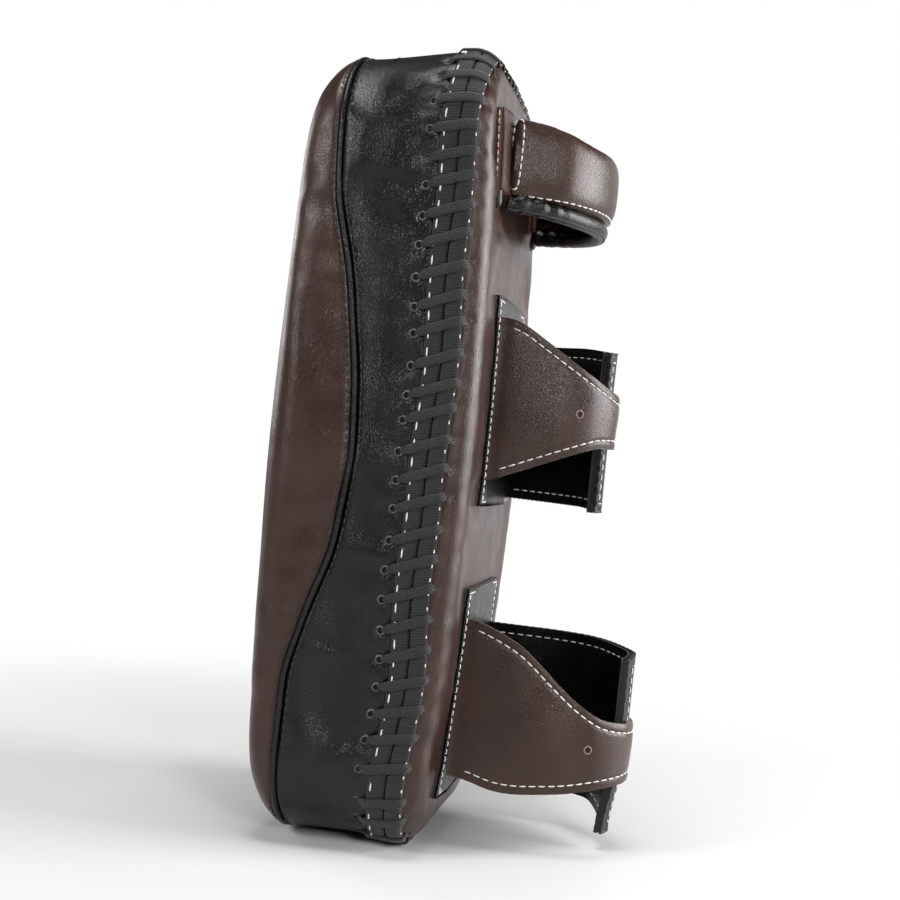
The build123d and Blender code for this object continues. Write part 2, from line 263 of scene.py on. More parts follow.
def profile(u):
    """Cross profile of the pad at u, from the spine of the strike face round to the spine of the back."""
    edge = outline_at(u)
    spine = np.array([0.0, float(np.clip(edge[1], SPINE_LOW, SPINE_HIGH))])
    reach = np.linalg.norm(edge - spine)
    inwards = (spine - edge) / reach
    top_end = float(smooth(HEIGHT - 75, HEIGHT - 6, edge[1]))
    foot_end = 1 - float(smooth(4, 60, edge[1]))
    taper = TAPER * (BACK_Y - BACK_R - TAPER_Y) * (1 - 0.95 * max(top_end, foot_end))
    slant = 7.0 * top_end

    flat = np.linspace(1, 0, 70) ** 1.2
    inset = [FRONT_R + slant + flat * (reach - FRONT_R - slant)]
    share = [np.zeros(70)]
    offset = [2.2 * (1 - flat) ** 3]
    turn = np.linspace(0, math.pi / 2, 40)[1:]
    inset.append(FRONT_R * (1 - np.sin(turn)) + slant)
    share.append(np.zeros(39))
    offset.append(2.2 + (FRONT_R - 2.2) * (1 - np.cos(turn)))
    wall = np.linspace(0, 1, 62)[1:-1]
    inset.append(taper * smooth(0.05, 1.6, wall) * 1.45 + slant * (1 - smooth(-0.2, 0.9, wall)) / (1 - smooth(-0.2, 0.9, 0.0)))
    share.append(wall)
    offset.append(FRONT_R * (1 - wall) - BACK_R * wall)
    turn = np.linspace(0, math.pi / 2, 34)
    start_inset = taper * float(smooth(0.05, 1.6, 1.0)) * 1.45
    inset.append(start_inset + BACK_R * (1 - np.cos(turn)))
    share.append(np.ones(34))
    offset.append(-BACK_R * (1 - np.sin(turn)) - 1.5 * np.sin(turn))
    flat = np.linspace(0, 1, 60)[1:]
    inset.append(start_inset + BACK_R + flat * (reach - start_inset - BACK_R))
    share.append(np.ones(59))
    offset.append(-1.5 * (1 - flat) ** 3)

    inset = np.concatenate(inset)
    share = np.concatenate(share)
    offset = np.concatenate(offset)
    flank = edge + inwards * inset[:, None]
    z = flank[:, 1]
    y = front_y(z) * (1 - share) + back_y(z) * share + offset
    # The flanks draw in a little between the seams.
    waist = 1.4 * np.sin(np.pi * np.clip(share, 0, 1)) * (share > 0) * (share < 1)
    flank = flank + inwards * waist[:, None]
    line = np.stack([flank[:, 0], y, flank[:, 1]], 1)
    return resample(line, PROFILE)


SKIN_COLUMNS = 1216


def crossing(line, along, depth_of):
    """Distance along a profile where it first passes a depth that depends on height."""
    ahead = line[:, 1] - depth_of(line[:, 2])
    k = np.flatnonzero((ahead[1:] >= 0) & (ahead[:-1] < 0))[0]
    part = -ahead[k] / (ahead[k + 1] - ahead[k])
    return along[k] + part * (along[k + 1] - along[k])


def measure_skin():
    """Profiles all round the pad, with the length, lacing and wave seam of each."""
    lines, totals, laces, seams = [], [], [], []
    for u in np.arange(SKIN_COLUMNS) / SKIN_COLUMNS:
        line = profile(u)
        along = np.concatenate([[0], np.cumsum(np.linalg.norm(np.diff(line, axis=0), axis=1))])
        lines.append(line)
        totals.append(along[-1])
        laces.append(crossing(line, along, lace_y))
        seams.append(crossing(line, along, seam_y))
    return np.array(lines), np.array(totals), np.array(laces), np.array(seams)


SKIN, TOTAL, LACE_AT, SEAM_AT = measure_skin()


def between_columns(u):
    at = (np.asarray(u, float) % 1.0) * SKIN_COLUMNS
    low = np.floor(at).astype(int) % SKIN_COLUMNS
    return low, (low + 1) % SKIN_COLUMNS, at - np.floor(at)


def around(values, u):
    """A quantity known on every skin column, read at u."""
    low, high, part = between_columns(u)
    return values[low] * (1 - part) + values[high] * part


def surface(u, t):
    """Points on the pad's skin at u, t mm from the lacing seam (negative towards the front)."""
    u, t = np.broadcast_arrays(np.asarray(u, float), np.asarray(t, float))
    low, high, part = between_columns(u)
    total = 0
    for side, weight in ((low, 1 - part), (high, part)):
        at = np.clip((t + LACE_AT[side]) / TOTAL[side], 0, 1) * (PROFILE - 1)
        k = np.minimum(np.floor(at).astype(int), PROFILE - 2)
        f = (at - k)[..., None]
        total = total + (SKIN[side, k] * (1 - f) + SKIN[side, k + 1] * f) * weight[..., None]
    return total


def seam_t(u):
    return around(SEAM_AT - LACE_AT, u)


def spine_front_t(u):
    return around(-LACE_AT, u)


def spine_back_t(u):
    return around(TOTAL - LACE_AT, u)


def skin_frame(u, t):
    """Points, directions round the pad, directions to the back and outward normals at (u, t)."""
    step = 1.0 / RING_LEN
    here = surface(u, t)
    run = unit(surface(np.asarray(u) + step, t) - surface(np.asarray(u) - step, t))
    across = unit(surface(u, np.asarray(t) + 1.0) - surface(u, np.asarray(t) - 1.0))
    return here, run, across, unit(np.cross(across, run))


# ---------------------------------------------------------------- materials
def nodes_of(name):
    material = bpy.data.materials.new(name)
    material.use_nodes = True
    tree = material.node_tree
    tree.nodes.clear()
    out = tree.nodes.new("ShaderNodeOutputMaterial")
    shader = tree.nodes.new("ShaderNodeBsdfPrincipled")
    tree.links.new(shader.outputs[0], out.inputs[0])
    return material, tree, shader


def link(tree, source, target):
    tree.links.new(source, target)


def coordinates(tree, kind="Object"):
    return tree.nodes.new("ShaderNodeTexCoord").outputs[kind]


def noise(tree, vector, scale, detail=4.0, rough=0.55):
    node = tree.nodes.new("ShaderNodeTexNoise")
    node.inputs["Scale"].default_value = scale
    node.inputs["Detail"].default_value = detail
    node.inputs["Roughness"].default_value = rough
    link(tree, vector, node.inputs["Vector"])
    return node.outputs["Fac"]


def ramp(tree, value, stops):
    """Colour ramp from (position, colour) stops."""
    node = tree.nodes.new("ShaderNodeValToRGB")
    band = node.color_ramp
    while len(band.elements) < len(stops):
        band.elements.new(0.5)
    for element, (place, colour) in zip(band.elements, stops):
        element.position = place
        element.color = (*colour, 1)
    link(tree, value, node.inputs[0])
    return node.outputs[0]


def bump(tree, height, strength, distance, below=None):
    node = tree.nodes.new("ShaderNodeBump")
    node.inputs["Strength"].default_value = strength
    node.inputs["Distance"].default_value = distance
    link(tree, height, node.inputs["Height"])
    if below is not None:
        link(tree, below, node.inputs["Normal"])
    return node.outputs[0]


def grey(level):
    return (level, level, level)


def leather(name, dark, base, light, gloss, grain, crease, shine=0.5):
    """Satin leather: pebble grain, fine pores, soft creases and uneven dye."""
    material, tree, shader = nodes_of(name)
    place = coordinates(tree)
    dye = noise(tree, place, 22.0, 5.0, 0.6)
    link(tree, ramp(tree, dye, [(0.30, dark), (0.52, base), (0.75, light)]), shader.inputs["Base Color"])
    cells = tree.nodes.new("ShaderNodeTexVoronoi")
    cells.feature = "DISTANCE_TO_EDGE"
    cells.inputs["Scale"].default_value = 950.0
    wobble = tree.nodes.new("ShaderNodeVectorMath")
    wobble.operation = "ADD"
    jitter = tree.nodes.new("ShaderNodeTexNoise")
    jitter.inputs["Scale"].default_value = 500.0
    link(tree, place, jitter.inputs["Vector"])
    small = tree.nodes.new("ShaderNodeVectorMath")
    small.operation = "SCALE"
    small.inputs["Scale"].default_value = 0.0012
    link(tree, jitter.outputs["Color"], small.inputs[0])
    link(tree, place, wobble.inputs[0])
    link(tree, small.outputs[0], wobble.inputs[1])
    link(tree, wobble.outputs[0], cells.inputs["Vector"])
    pebbles = ramp(tree, cells.outputs["Distance"], [(0.0, grey(0.0)), (0.32, grey(1.0))])
    folds = noise(tree, place, 70.0, 6.0, 0.62)
    ripples = noise(tree, place, 16.0, 3.0, 0.5)
    first = bump(tree, ripples, crease * 0.5, 0.004)
    second = bump(tree, folds, crease, 0.0009, first)
    third = bump(tree, pebbles, grain, 0.00012, second)
    link(tree, third, shader.inputs["Normal"])
    sheen = noise(tree, place, 45.0, 4.0)
    rough = ramp(tree, sheen, [(0.35, grey(gloss - 0.05)), (0.7, grey(gloss + 0.08))])
    link(tree, rough, shader.inputs["Roughness"])
    shader.inputs["Specular IOR Level"].default_value = shine
    return material


def fabric(name, base, light, ribs_mm, diagonal):
    """Ribbed tape or braided cord, drawn on the piece's own lengthwise coordinates."""
    material, tree, shader = nodes_of(name)
    uv = coordinates(tree, "UV")
    waves = []
    for angle in ((0.0,) if not diagonal else (0.9, -0.9)):
        turn = tree.nodes.new("ShaderNodeMapping")
        turn.inputs["Rotation"].default_value = (0, 0, angle)
        link(tree, uv, turn.inputs["Vector"])
        wave = tree.nodes.new("ShaderNodeTexWave")
        wave.wave_type = "BANDS"
        wave.bands_direction = "X"
        wave.inputs["Scale"].default_value = 2 * math.pi / 20.0 / ribs_mm
        wave.inputs["Distortion"].default_value = 0.6
        link(tree, turn.outputs[0], wave.inputs["Vector"])
        waves.append(wave.outputs["Fac"])
    height = waves[0]
    if diagonal:
        both = tree.nodes.new("ShaderNodeMath")
        both.operation = "MAXIMUM"
        link(tree, waves[0], both.inputs[0])
        link(tree, waves[1], both.inputs[1])
        height = both.outputs[0]
    fuzz = noise(tree, coordinates(tree), 900.0, 3.0)
    tint = tree.nodes.new("ShaderNodeMath")
    tint.operation = "MULTIPLY"
    link(tree, height, tint.inputs[0])
    link(tree, fuzz, tint.inputs[1])
    link(tree, ramp(tree, tint.outputs[0], [(0.05, base), (0.6, light)]), shader.inputs["Base Color"])
    lower = bump(tree, fuzz, 0.4, 0.0003)
    link(tree, bump(tree, height, 0.9, 0.0004, lower), shader.inputs["Normal"])
    shader.inputs["Roughness"].default_value = 0.72
    shader.inputs["Sheen Weight"].default_value = 0.10
    return material


def plain(name, dark, light, rough, scale, depth):
    """Fibrous or foamy stuff: mottled colour and a noisy surface."""
    material, tree, shader = nodes_of(name)
    fibres = noise(tree, coordinates(tree), scale, 5.0, 0.65)
    link(tree, ramp(tree, fibres, [(0.32, dark), (0.7, light)]), shader.inputs["Base Color"])
    link(tree, bump(tree, fibres, 0.7, depth), shader.inputs["Normal"])
    shader.inputs["Roughness"].default_value = rough
    return material


BROWN = leather("brown_leather", (0.022, 0.0088, 0.0067), (0.033, 0.0140, 0.0105), (0.046, 0.0205, 0.0158), 0.33, 0.5, 0.12, 0.36)
BLACK = leather("black_leather", (0.0016, 0.0016, 0.0018), (0.0028, 0.0028, 0.0031), (0.005, 0.005, 0.0055), 0.31, 0.6, 0.10, 0.34)
TAPE = fabric("binding_tape", (0.002, 0.002, 0.0022), (0.014, 0.014, 0.015), 1.35, False)
CORD = fabric("lacing_cord", (0.0015, 0.0015, 0.0017), (0.010, 0.010, 0.011), 1.5, True)
# Light grey hole rims: a painted highlight on the black leather round each lace hole.
RIM_HIGHLIGHT = plain("hole_rim_painted_highlight", (0.010, 0.010, 0.010), (0.12, 0.12, 0.12), 0.35, 700.0, 0.0001)
THREAD = plain("thread", (0.55, 0.52, 0.47), (0.82, 0.80, 0.75), 0.6, 2500.0, 0.0001)
DARK_THREAD = plain("dark_thread", (0.006, 0.006, 0.006), (0.02, 0.02, 0.02), 0.55, 2500.0, 0.0001)
RAW_EDGE = plain("raw_leather_edge", (0.10, 0.050, 0.040), (0.36, 0.22, 0.19), 0.85, 1400.0, 0.0003)
RED_EDGE = plain("red_leather_edge", (0.035, 0.011, 0.007), (0.20, 0.085, 0.055), 0.8, 1400.0, 0.0003)
BLACK_EDGE = plain("black_leather_edge", (0.006, 0.006, 0.007), (0.03, 0.03, 0.032), 0.75, 1200.0, 0.0003)
# Near-black hole wells: painted shade standing in for the inside of a punched hole.
HOLE_SHADE = plain("punched_hole_painted_shade", (0.001, 0.001, 0.001), (0.003, 0.003, 0.003), 0.9, 800.0, 0.0001)
FOAM = plain("closed_cell_foam", (0.05, 0.05, 0.055), (0.10, 0.10, 0.11), 0.9, 700.0, 0.0003)
FELT = plain("felt", (0.012, 0.012, 0.012), (0.05, 0.05, 0.05), 0.95, 900.0, 0.0005)
TOUCH = plain("touch_tape", (0.004, 0.004, 0.004), (0.03, 0.03, 0.03), 0.95, 1800.0, 0.0006)


# ---------------------------------------------------------------- general shapes
def keep(obj, body, slot, *nodes):
    """Place a finished piece on its body and hide the CAD parts it stands for."""
    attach(obj, body)
    if nodes:
        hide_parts(*nodes)
    return obj


def ribbon(name, paths, materials, edge_index=0):
    """Flat strips swept along paths of (centre, across, normal, width, thickness) stations."""
    points, faces, uv, marks = [], [], [], []
    corner = np.array([(-0.5, 0.15), (-0.46, 0.5), (-0.2, 0.56), (0.2, 0.56), (0.46, 0.5), (0.5, 0.15),
                       (0.5, -0.15), (0.46, -0.5), (-0.46, -0.5), (-0.5, -0.15)])
    around = len(corner)
    for stations in paths:
        start = len(points)
        travelled = 0.0
        previous = None
        for centre, across, normal, width, thick in stations:
            if previous is not None:
                travelled += float(np.linalg.norm(centre - previous))
            previous = centre
            for a, h in corner:
                points.append(centre + across * a * width + normal * h * thick)
                uv.append((travelled, a * width))
        count = len(stations)
        quads = grid_faces(count, around, closed_columns=True, start=start)
        faces += quads
        marks += [edge_index if k % around in (5, 9) else 0 for k in range(len(quads))]
        faces.append(tuple(start + k for k in range(around))[::-1])
        faces.append(tuple(start + (count - 1) * around + k for k in range(around)))
        marks += [edge_index, edge_index]
    return new_mesh(name, np.array(points), faces, materials, uv, marks)


def tube(name, centres, radii, material, closed=False, sides=10, squash_normals=None, flat=1.0):
    """Round cord through centres; flat below 1 presses it down along the given normals."""
    centres = np.asarray(centres, float)
    radii = np.broadcast_to(np.asarray(radii, float), (len(centres),))
    run = tangents(centres, closed)
    if squash_normals is None:
        guide = np.array([0.0, 0.0, 1.0]) if abs(run[0][2]) < 0.9 else np.array([1.0, 0.0, 0.0])
        normals = [unit(guide - run[0] * (guide @ run[0]))]
        for k in range(1, len(centres)):
            last = normals[-1] - run[k] * (normals[-1] @ run[k])
            normals.append(unit(last))
        squash_normals = np.array(normals)
    side = unit(np.cross(run, squash_normals))
    points, uv = [], []
    angles = np.linspace(0, 2 * math.pi, sides, endpoint=False)
    travelled = np.concatenate([[0], np.cumsum(np.linalg.norm(np.diff(centres, axis=0), axis=1))])
    for k, centre in enumerate(centres):
        for a in angles:
            points.append(centre + (side[k] * math.cos(a) + squash_normals[k] * math.sin(a) * flat) * radii[k])
            uv.append((travelled[k], a * radii[k]))
    faces = grid_faces(len(centres), sides, closed_rows=closed, closed_columns=True)
    if not closed:
        faces.append(tuple(range(sides))[::-1])
        faces.append(tuple((len(centres) - 1) * sides + k for k in range(sides)))
    return new_mesh(name, np.array(points), faces, [material], uv)


def stitch_row(name, points, normals, body, length=4.2, gap=1.5, radius=0.55, material=None, lift=0.1):
    """A sewn line: plump thread beads, each dipping into the leather at its ends."""
    points = np.asarray(points, float)
    normals = np.asarray(normals, float)
    along = np.concatenate([[0], np.cumsum(np.linalg.norm(np.diff(points, axis=0), axis=1))])
    count = max(1, int(along[-1] / (length + gap)))
    pitch = along[-1] / count
    shape = np.array([(-0.5, 0.25, -0.9), (-0.4, 0.75, -0.1), (-0.15, 1.0, 0.35),
                      (0.15, 1.0, 0.35), (0.4, 0.75, -0.1), (0.5, 0.25, -0.9)])
    at = ((np.arange(count) + 0.5) * pitch)[:, None] + shape[None, :, 0] * (pitch - gap)

    def read(values, where):
        return np.stack([np.interp(where, along, values[:, k]) for k in range(3)], -1)

    run = unit(read(points, at + 0.3) - read(points, at - 0.3))
    up = read(normals, at)
    up = unit(up - run * (run * up).sum(-1, keepdims=True))
    side = np.cross(run, up)
    centre = read(points, at) + up * (lift + shape[None, :, 2] * radius)[..., None]
    angles = np.linspace(0, 2 * math.pi, 6, endpoint=False)
    circle = side[:, :, None] * np.cos(angles)[:, None] + up[:, :, None] * np.sin(angles)[:, None]
    verts = centre[:, :, None] + circle * (radius * shape[:, 1])[None, :, None, None]
    faces = []
    for k in range(count):
        start = k * len(shape) * 6
        faces += grid_faces(len(shape), 6, closed_columns=True, start=start)
        faces.append(tuple(start + j for j in range(6))[::-1])
        faces.append(tuple(start + (len(shape) - 1) * 6 + j for j in range(6)))
    obj = new_mesh(name, verts.reshape(-1, 3), faces, [material or THREAD])
    if body:
        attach(obj, body)
    return obj


# ---------------------------------------------------------------- cloth
def inflate(obj, pressure, cap_mm, pins=None, frames=20):
    """Swell a piece with cloth simulation, and keep every point within cap_mm of where it began."""
    count = len(obj.data.vertices)
    before = np.empty(count * 3)
    obj.data.vertices.foreach_get("co", before)
    before = before.reshape(-1, 3)
    cloth = obj.modifiers.new("cloth", "CLOTH")
    cloth.settings.use_pressure = True
    cloth.settings.uniform_pressure_force = pressure
    cloth.settings.effector_weights.gravity = 0
    cloth.settings.quality = 5
    cloth.point_cache.frame_start = 1
    cloth.point_cache.frame_end = frames
    if pins is not None:
        group = obj.vertex_groups.new(name="sewn")
        group.add([int(k) for k in pins], 1.0, "REPLACE")
        cloth.settings.vertex_group_mass = "sewn"
        cloth.settings.shrink_min = -0.03
    scene = bpy.context.scene
    for step in range(1, frames + 1):
        scene.frame_set(step)
    graph = bpy.context.evaluated_depsgraph_get()
    settled = obj.evaluated_get(graph).to_mesh()
    after = np.empty(count * 3)
    settled.vertices.foreach_get("co", after)
    after = after.reshape(-1, 3)
    obj.modifiers.remove(cloth)
    scene.frame_set(1)
    move = after - before
    size = np.linalg.norm(move, axis=1, keepdims=True)
    move = move * np.minimum(1, cap_mm * MM / np.maximum(size, 1e-9))
    obj.data.vertices.foreach_set("co", (before + move).ravel())
    obj.data.update()
    return move / MM


# ---------------------------------------------------------------- pad panels
COLUMNS = 608
COLUMN_U = np.arange(COLUMNS) / COLUMNS


def lace_places():
    """Where each lace crosses, as u values, slightly uneven like hand lacing."""
    rng = np.random.default_rng(7)
    return (np.arange(LACES) + 0.5 + rng.uniform(-0.10, 0.10, LACES)) / LACES


LACE_U = lace_places()
FRONT_HOLE_T = -15.0
BACK_HOLE_T = 13.0


def lace_slant(u):
    """How far a lace drifts round the pad between its two holes, in mm."""
    x, z = outline_at(u)
    along_flank = float(smooth(40, 110, z) * (1 - smooth(330, 395, z)))
    return (3.0 + 7.0 * along_flank) * (1 if x > 0 else -1)


def hole_list():
    """Each lace hole as (u, t), front holes first."""
    front = [(u, FRONT_HOLE_T) for u in LACE_U]
    back = [(u + lace_slant(u) / RING_LEN, BACK_HOLE_T) for u in LACE_U]
    return front, back


FRONT_HOLES, BACK_HOLES = hole_list()


def pucker(u, t, holes, depth, reach):
    """Dip of the leather round each hole, with folds that fan out from it."""
    holes_u = np.array([h[0] for h in holes])
    holes_t = np.array([h[1] for h in holes])
    du = (u[..., None] - holes_u + 0.5) % 1.0 - 0.5
    du = du * RING_LEN
    dt = t[..., None] - holes_t
    far = np.sqrt(du**2 + dt**2)
    fan = 0.75 + 0.25 * np.cos(5 * np.arctan2(dt, du))
    return -(depth * np.exp(-(far / reach) ** 2) * fan).sum(-1)


CLOTH_COLUMNS = LACES * 6
CLOTH_ROWS = 64


def settle_skin():
    """Cloth simulation of the pad's skin, held at the wave seam and the lace holes.

    Returns how far the leather stands off the plain form, on a grid of u against share of the profile."""
    u = np.arange(CLOTH_COLUMNS) / CLOTH_COLUMNS
    share = np.linspace(0.02, 0.98, CLOTH_ROWS)[:, None]
    t = spine_front_t(u)[None, :] + share * (spine_back_t(u) - spine_front_t(u))[None, :]
    uu = np.broadcast_to(u[None, :], t.shape)
    points, _, _, up = skin_frame(uu, t)
    cloth = new_mesh("skin_cloth", points.reshape(-1, 3), grid_faces(CLOTH_ROWS, CLOTH_COLUMNS, closed_columns=True), [])
    spread = (t[1] - t[0])[None, :] * 0.55
    pinned = (np.abs(t - seam_t(u)[None, :]) < spread) | (np.abs(t) < spread)
    pinned[0] = True
    pinned[-1] = True
    for holes in (FRONT_HOLES, BACK_HOLES):
        for hole_u, hole_t in holes:
            column = int(round(hole_u * CLOTH_COLUMNS)) % CLOTH_COLUMNS
            pinned[np.argmin(np.abs(t[:, column] - hole_t)), column] = True
    move = inflate(cloth, 2.5, 2.4, np.flatnonzero(pinned.ravel()), 16)
    stand = (move.reshape(CLOTH_ROWS, CLOTH_COLUMNS, 3) * up).sum(-1)
    bpy.data.objects.remove(cloth)
    for _ in range(2):
        stand = (np.roll(stand, 1, 1) + 2 * stand + np.roll(stand, -1, 1)) / 4
        stand[1:-1] = (stand[:-2] + 2 * stand[1:-1] + stand[2:]) / 4
    print("skin cloth stands off by", stand.min().round(2), stand.mean().round(2), stand.max().round(2))
    return stand


STAND_OFF = settle_skin()


def stand_off(u, t):
    """The settled leather's distance from the plain form at (u, t)."""
    share = (t - spine_front_t(u)) / (spine_back_t(u) - spine_front_t(u))
    row = np.clip((share - 0.02) / 0.96, 0, 1) * (CLOTH_ROWS - 1)
    i = np.minimum(np.floor(row).astype(int), CLOTH_ROWS - 2)
    column = (u % 1.0) * CLOTH_COLUMNS
    j = np.floor(column).astype(int) % CLOTH_COLUMNS
    k = (j + 1) % CLOTH_COLUMNS
    a, b = row - i, column - np.floor(column)
    near = STAND_OFF[i, j] * (1 - b) + STAND_OFF[i, k] * b
    far = STAND_OFF[i + 1, j] * (1 - b) + STAND_OFF[i + 1, k] * b
    # The strike face, the middle of the back and the pad's two ends are stretched tight over the foam.
    height = outline_at(u)[..., 1]
    ends = 1 - 0.85 * (smooth(HEIGHT - 32.0, HEIGHT - 8.0, height) + 1 - smooth(6.0, 30.0, height))
    face = 1 - 0.92 * smooth(14.0, 46.0, seam_t(u) - t)
    rear = 1 - 0.75 * smooth(30.0, 70.0, t)
    spine = smooth(0.0, 0.12, share) * smooth(0.0, 0.12, 1 - share)
    return (near * (1 - a) + far * a) * face * rear * spine * ends


def wrinkle(u, t, seed, size):
    """Low, slow ripples in stretched leather, in mm."""
    rng = np.random.default_rng(seed)
    total = np.zeros(np.broadcast(u, t).shape)
    for _ in range(10):
        around = rng.integers(4, 34)
        across = rng.uniform(0.02, 0.16)
        phase = rng.uniform(0, 6.28)
        total = total + np.sin(2 * math.pi * around * u + across * t + phase) / (1 + around * 0.08)
    return size * total / 5


def panel(name, material, t_low, t_high, rows, tuck_low, tuck_high, relief, open_rows):
    """Leather panel between two distances from the lacing, its edges rolled down into the seams."""
    share = np.linspace(0, 1, rows)
    low = t_low(COLUMN_U) + np.zeros(COLUMNS)
    high = t_high(COLUMN_U) + np.zeros(COLUMNS)
    tt = low[None, :] + share[:, None] * (high - low)[None, :]
    uu = np.broadcast_to(COLUMN_U[None, :], tt.shape)
    points = surface(uu, tt)
    run = unit(np.roll(points, -1, 1) - np.roll(points, 1, 1))
    across = unit(np.gradient(points, axis=0))
    normal = unit(np.cross(across, run))
    for row, tuck in ((0, tuck_low), (-1, tuck_high)):
        if not tuck:
            normal[row] = (0.0, math.copysign(1.0, points[row, 0, 1]), 0.0)
    push = relief(uu, tt) + stand_off(uu, tt)
    from_low = tt - low[None, :]
    from_high = high[None, :] - tt
    for tuck, away in ((tuck_low, from_low), (tuck_high, from_high)):
        if tuck:
            push = push - tuck * np.exp(-((away / 1.7) ** 2))
        else:
            push = push * smooth(0.0, 6.0, away)
    points = points + normal * push[..., None]
    uv = np.stack([uu * RING_LEN, tt], -1).reshape(-1, 2)
    faces = grid_faces(rows, COLUMNS, closed_columns=True)
    inner = points - normal * LEATHER_T
    size = rows * COLUMNS
    back = [tuple(size + k for k in quad)[::-1] for quad in faces]
    rim = []
    for row in [k % rows for k in open_rows]:
        for j in range(COLUMNS):
            a = row * COLUMNS + j
            b = row * COLUMNS + (j + 1) % COLUMNS
            quad = (b, a, size + a, size + b)
            rim.append(quad if row == 0 else quad[::-1])
    both = np.concatenate([points.reshape(-1, 3), inner.reshape(-1, 3)])
    obj = new_mesh(name, both, faces + back + rim, [material], np.concatenate([uv, uv]))
    weld(obj, 0.12)
    return obj


def build_panels():
    """Brown strike cover, black side wall and brown back panel."""
    cover = panel(
        "front_cover_leather", BROWN, spine_front_t, lambda u: seam_t(u) - 0.8, 84, 0, 1.6,
        lambda u, t: wrinkle(u, t, 3, 0.10), (-1,),
    )
    keep(cover, "pad", "brown_leather", "front_cover")

    def wall_relief(u, t):
        near_lace = np.exp(-(((t - FRONT_HOLE_T) / 7.0) ** 2))
        gather = 0.35 * near_lace * np.cos(2 * math.pi * LACES * u)
        return pucker(u, t, FRONT_HOLES, 1.5, 2.6) + gather + wrinkle(u, t, 5, 0.30)

    wall = panel(
        "side_wall_leather", BLACK, lambda u: seam_t(u) + 0.8, lambda u: -TAPE_W + 1.5, 52, 1.6, 0.5,
        wall_relief, (0, -1),
    )
    keep(wall, "pad", "black_leather", "side_wall_right", "side_wall_left")

    def back_relief(u, t):
        return pucker(u, t, BACK_HOLES, 0.9, 2.2) + wrinkle(u, t, 9, 0.12)

    back = panel(
        "back_panel_leather", BROWN, lambda u: TAPE_W - 1.5, spine_back_t, 76, 0.5, 0, back_relief, (0,),
    )
    keep(back, "pad", "brown_leather", "back_panel")


def ring_path(t_of_u, lift, count):
    """Closed path round the pad at a distance from the lacing, raised off the skin."""
    u = np.arange(count) / count
    here, _, _, up = skin_frame(u, t_of_u(u) + np.zeros(count))
    return here + up * lift, up


def build_seams():
    """Rolled welt in the wave seam, and the sewn line beside it."""
    points, normals = ring_path(seam_t, -0.35, 700)
    welt = tube("seam_welt", points, 1.5, BLACK, closed=True, squash_normals=normals)
    keep(welt, "pad", "black_leather", "front_welt")
    points, normals = ring_path(lambda u: seam_t(u) + 3.4, 0.0, 900)
    stitch_row("seam_stitches_wall", points, normals, "pad", 3.4, 1.2, 0.42, DARK_THREAD, 0.05)
    points, normals = ring_path(lambda u: seam_t(u) - 3.0, 0.0, 900)
    stitch_row("seam_stitches_cover", points, normals, "pad", 3.4, 1.2, 0.42, DARK_THREAD, 0.05)


def build_binding():
    """Two ribbed tapes folded over the panels' edges, butted at the lacing seam."""
    rng = np.random.default_rng(11)
    count = int(RING_LEN / RIB_PITCH) * 4
    u = np.arange(count) / count
    rib = np.cos(np.arange(count) * math.pi / 2)
    wander = np.convolve(np.tile(rng.normal(0, 1, count), 3), np.hanning(90) / 45, "same")[count:2 * count]
    sides = (
        ("binding_side_tape", "binding_side_edge", -TAPE_W, -0.25),
        ("binding_back_tape", "binding_back_edge", 0.25, TAPE_W),
    )
    for name, node, low, high in sides:
        rows = 13
        share = np.linspace(0, 1, rows)
        crown = np.clip(np.sin(np.pi * share), 0, 1) ** 0.3
        t = low + (high - low) * share[None, :] + 0.35 * wander[:, None]
        skew = share[None, :] * 1.6 / RING_LEN
        here, _, _, up = skin_frame(u[:, None] + skew, t)
        height = 0.3 + (TAPE_T + 0.16 * wander[:, None] + 0.14 * rib[:, None]) * crown[None, :]
        points = here + up * height[..., None]
        uv = np.stack(np.broadcast_arrays(u[:, None] * RING_LEN, t), -1)
        faces = grid_faces(count, rows, closed_rows=True)
        tape = new_mesh(name, points.reshape(-1, 3), faces, [TAPE], uv.reshape(-1, 2))
        keep(tape, "pad", "binding_tape", node)
    path, normals = ring_path(lambda u: -TAPE_W + 2.0, 1.45, 1800)
    stitch_row("binding_side_stitches", path, normals, "pad", 5.0, 4.2, 0.42, THREAD, 0.05)
    path, normals = ring_path(lambda u: TAPE_W - 1.0, 0.9, 1800)
    stitch_row("binding_back_stitches", path, normals, "pad", 2.6, 4.6, 0.36, THREAD, 0.0)


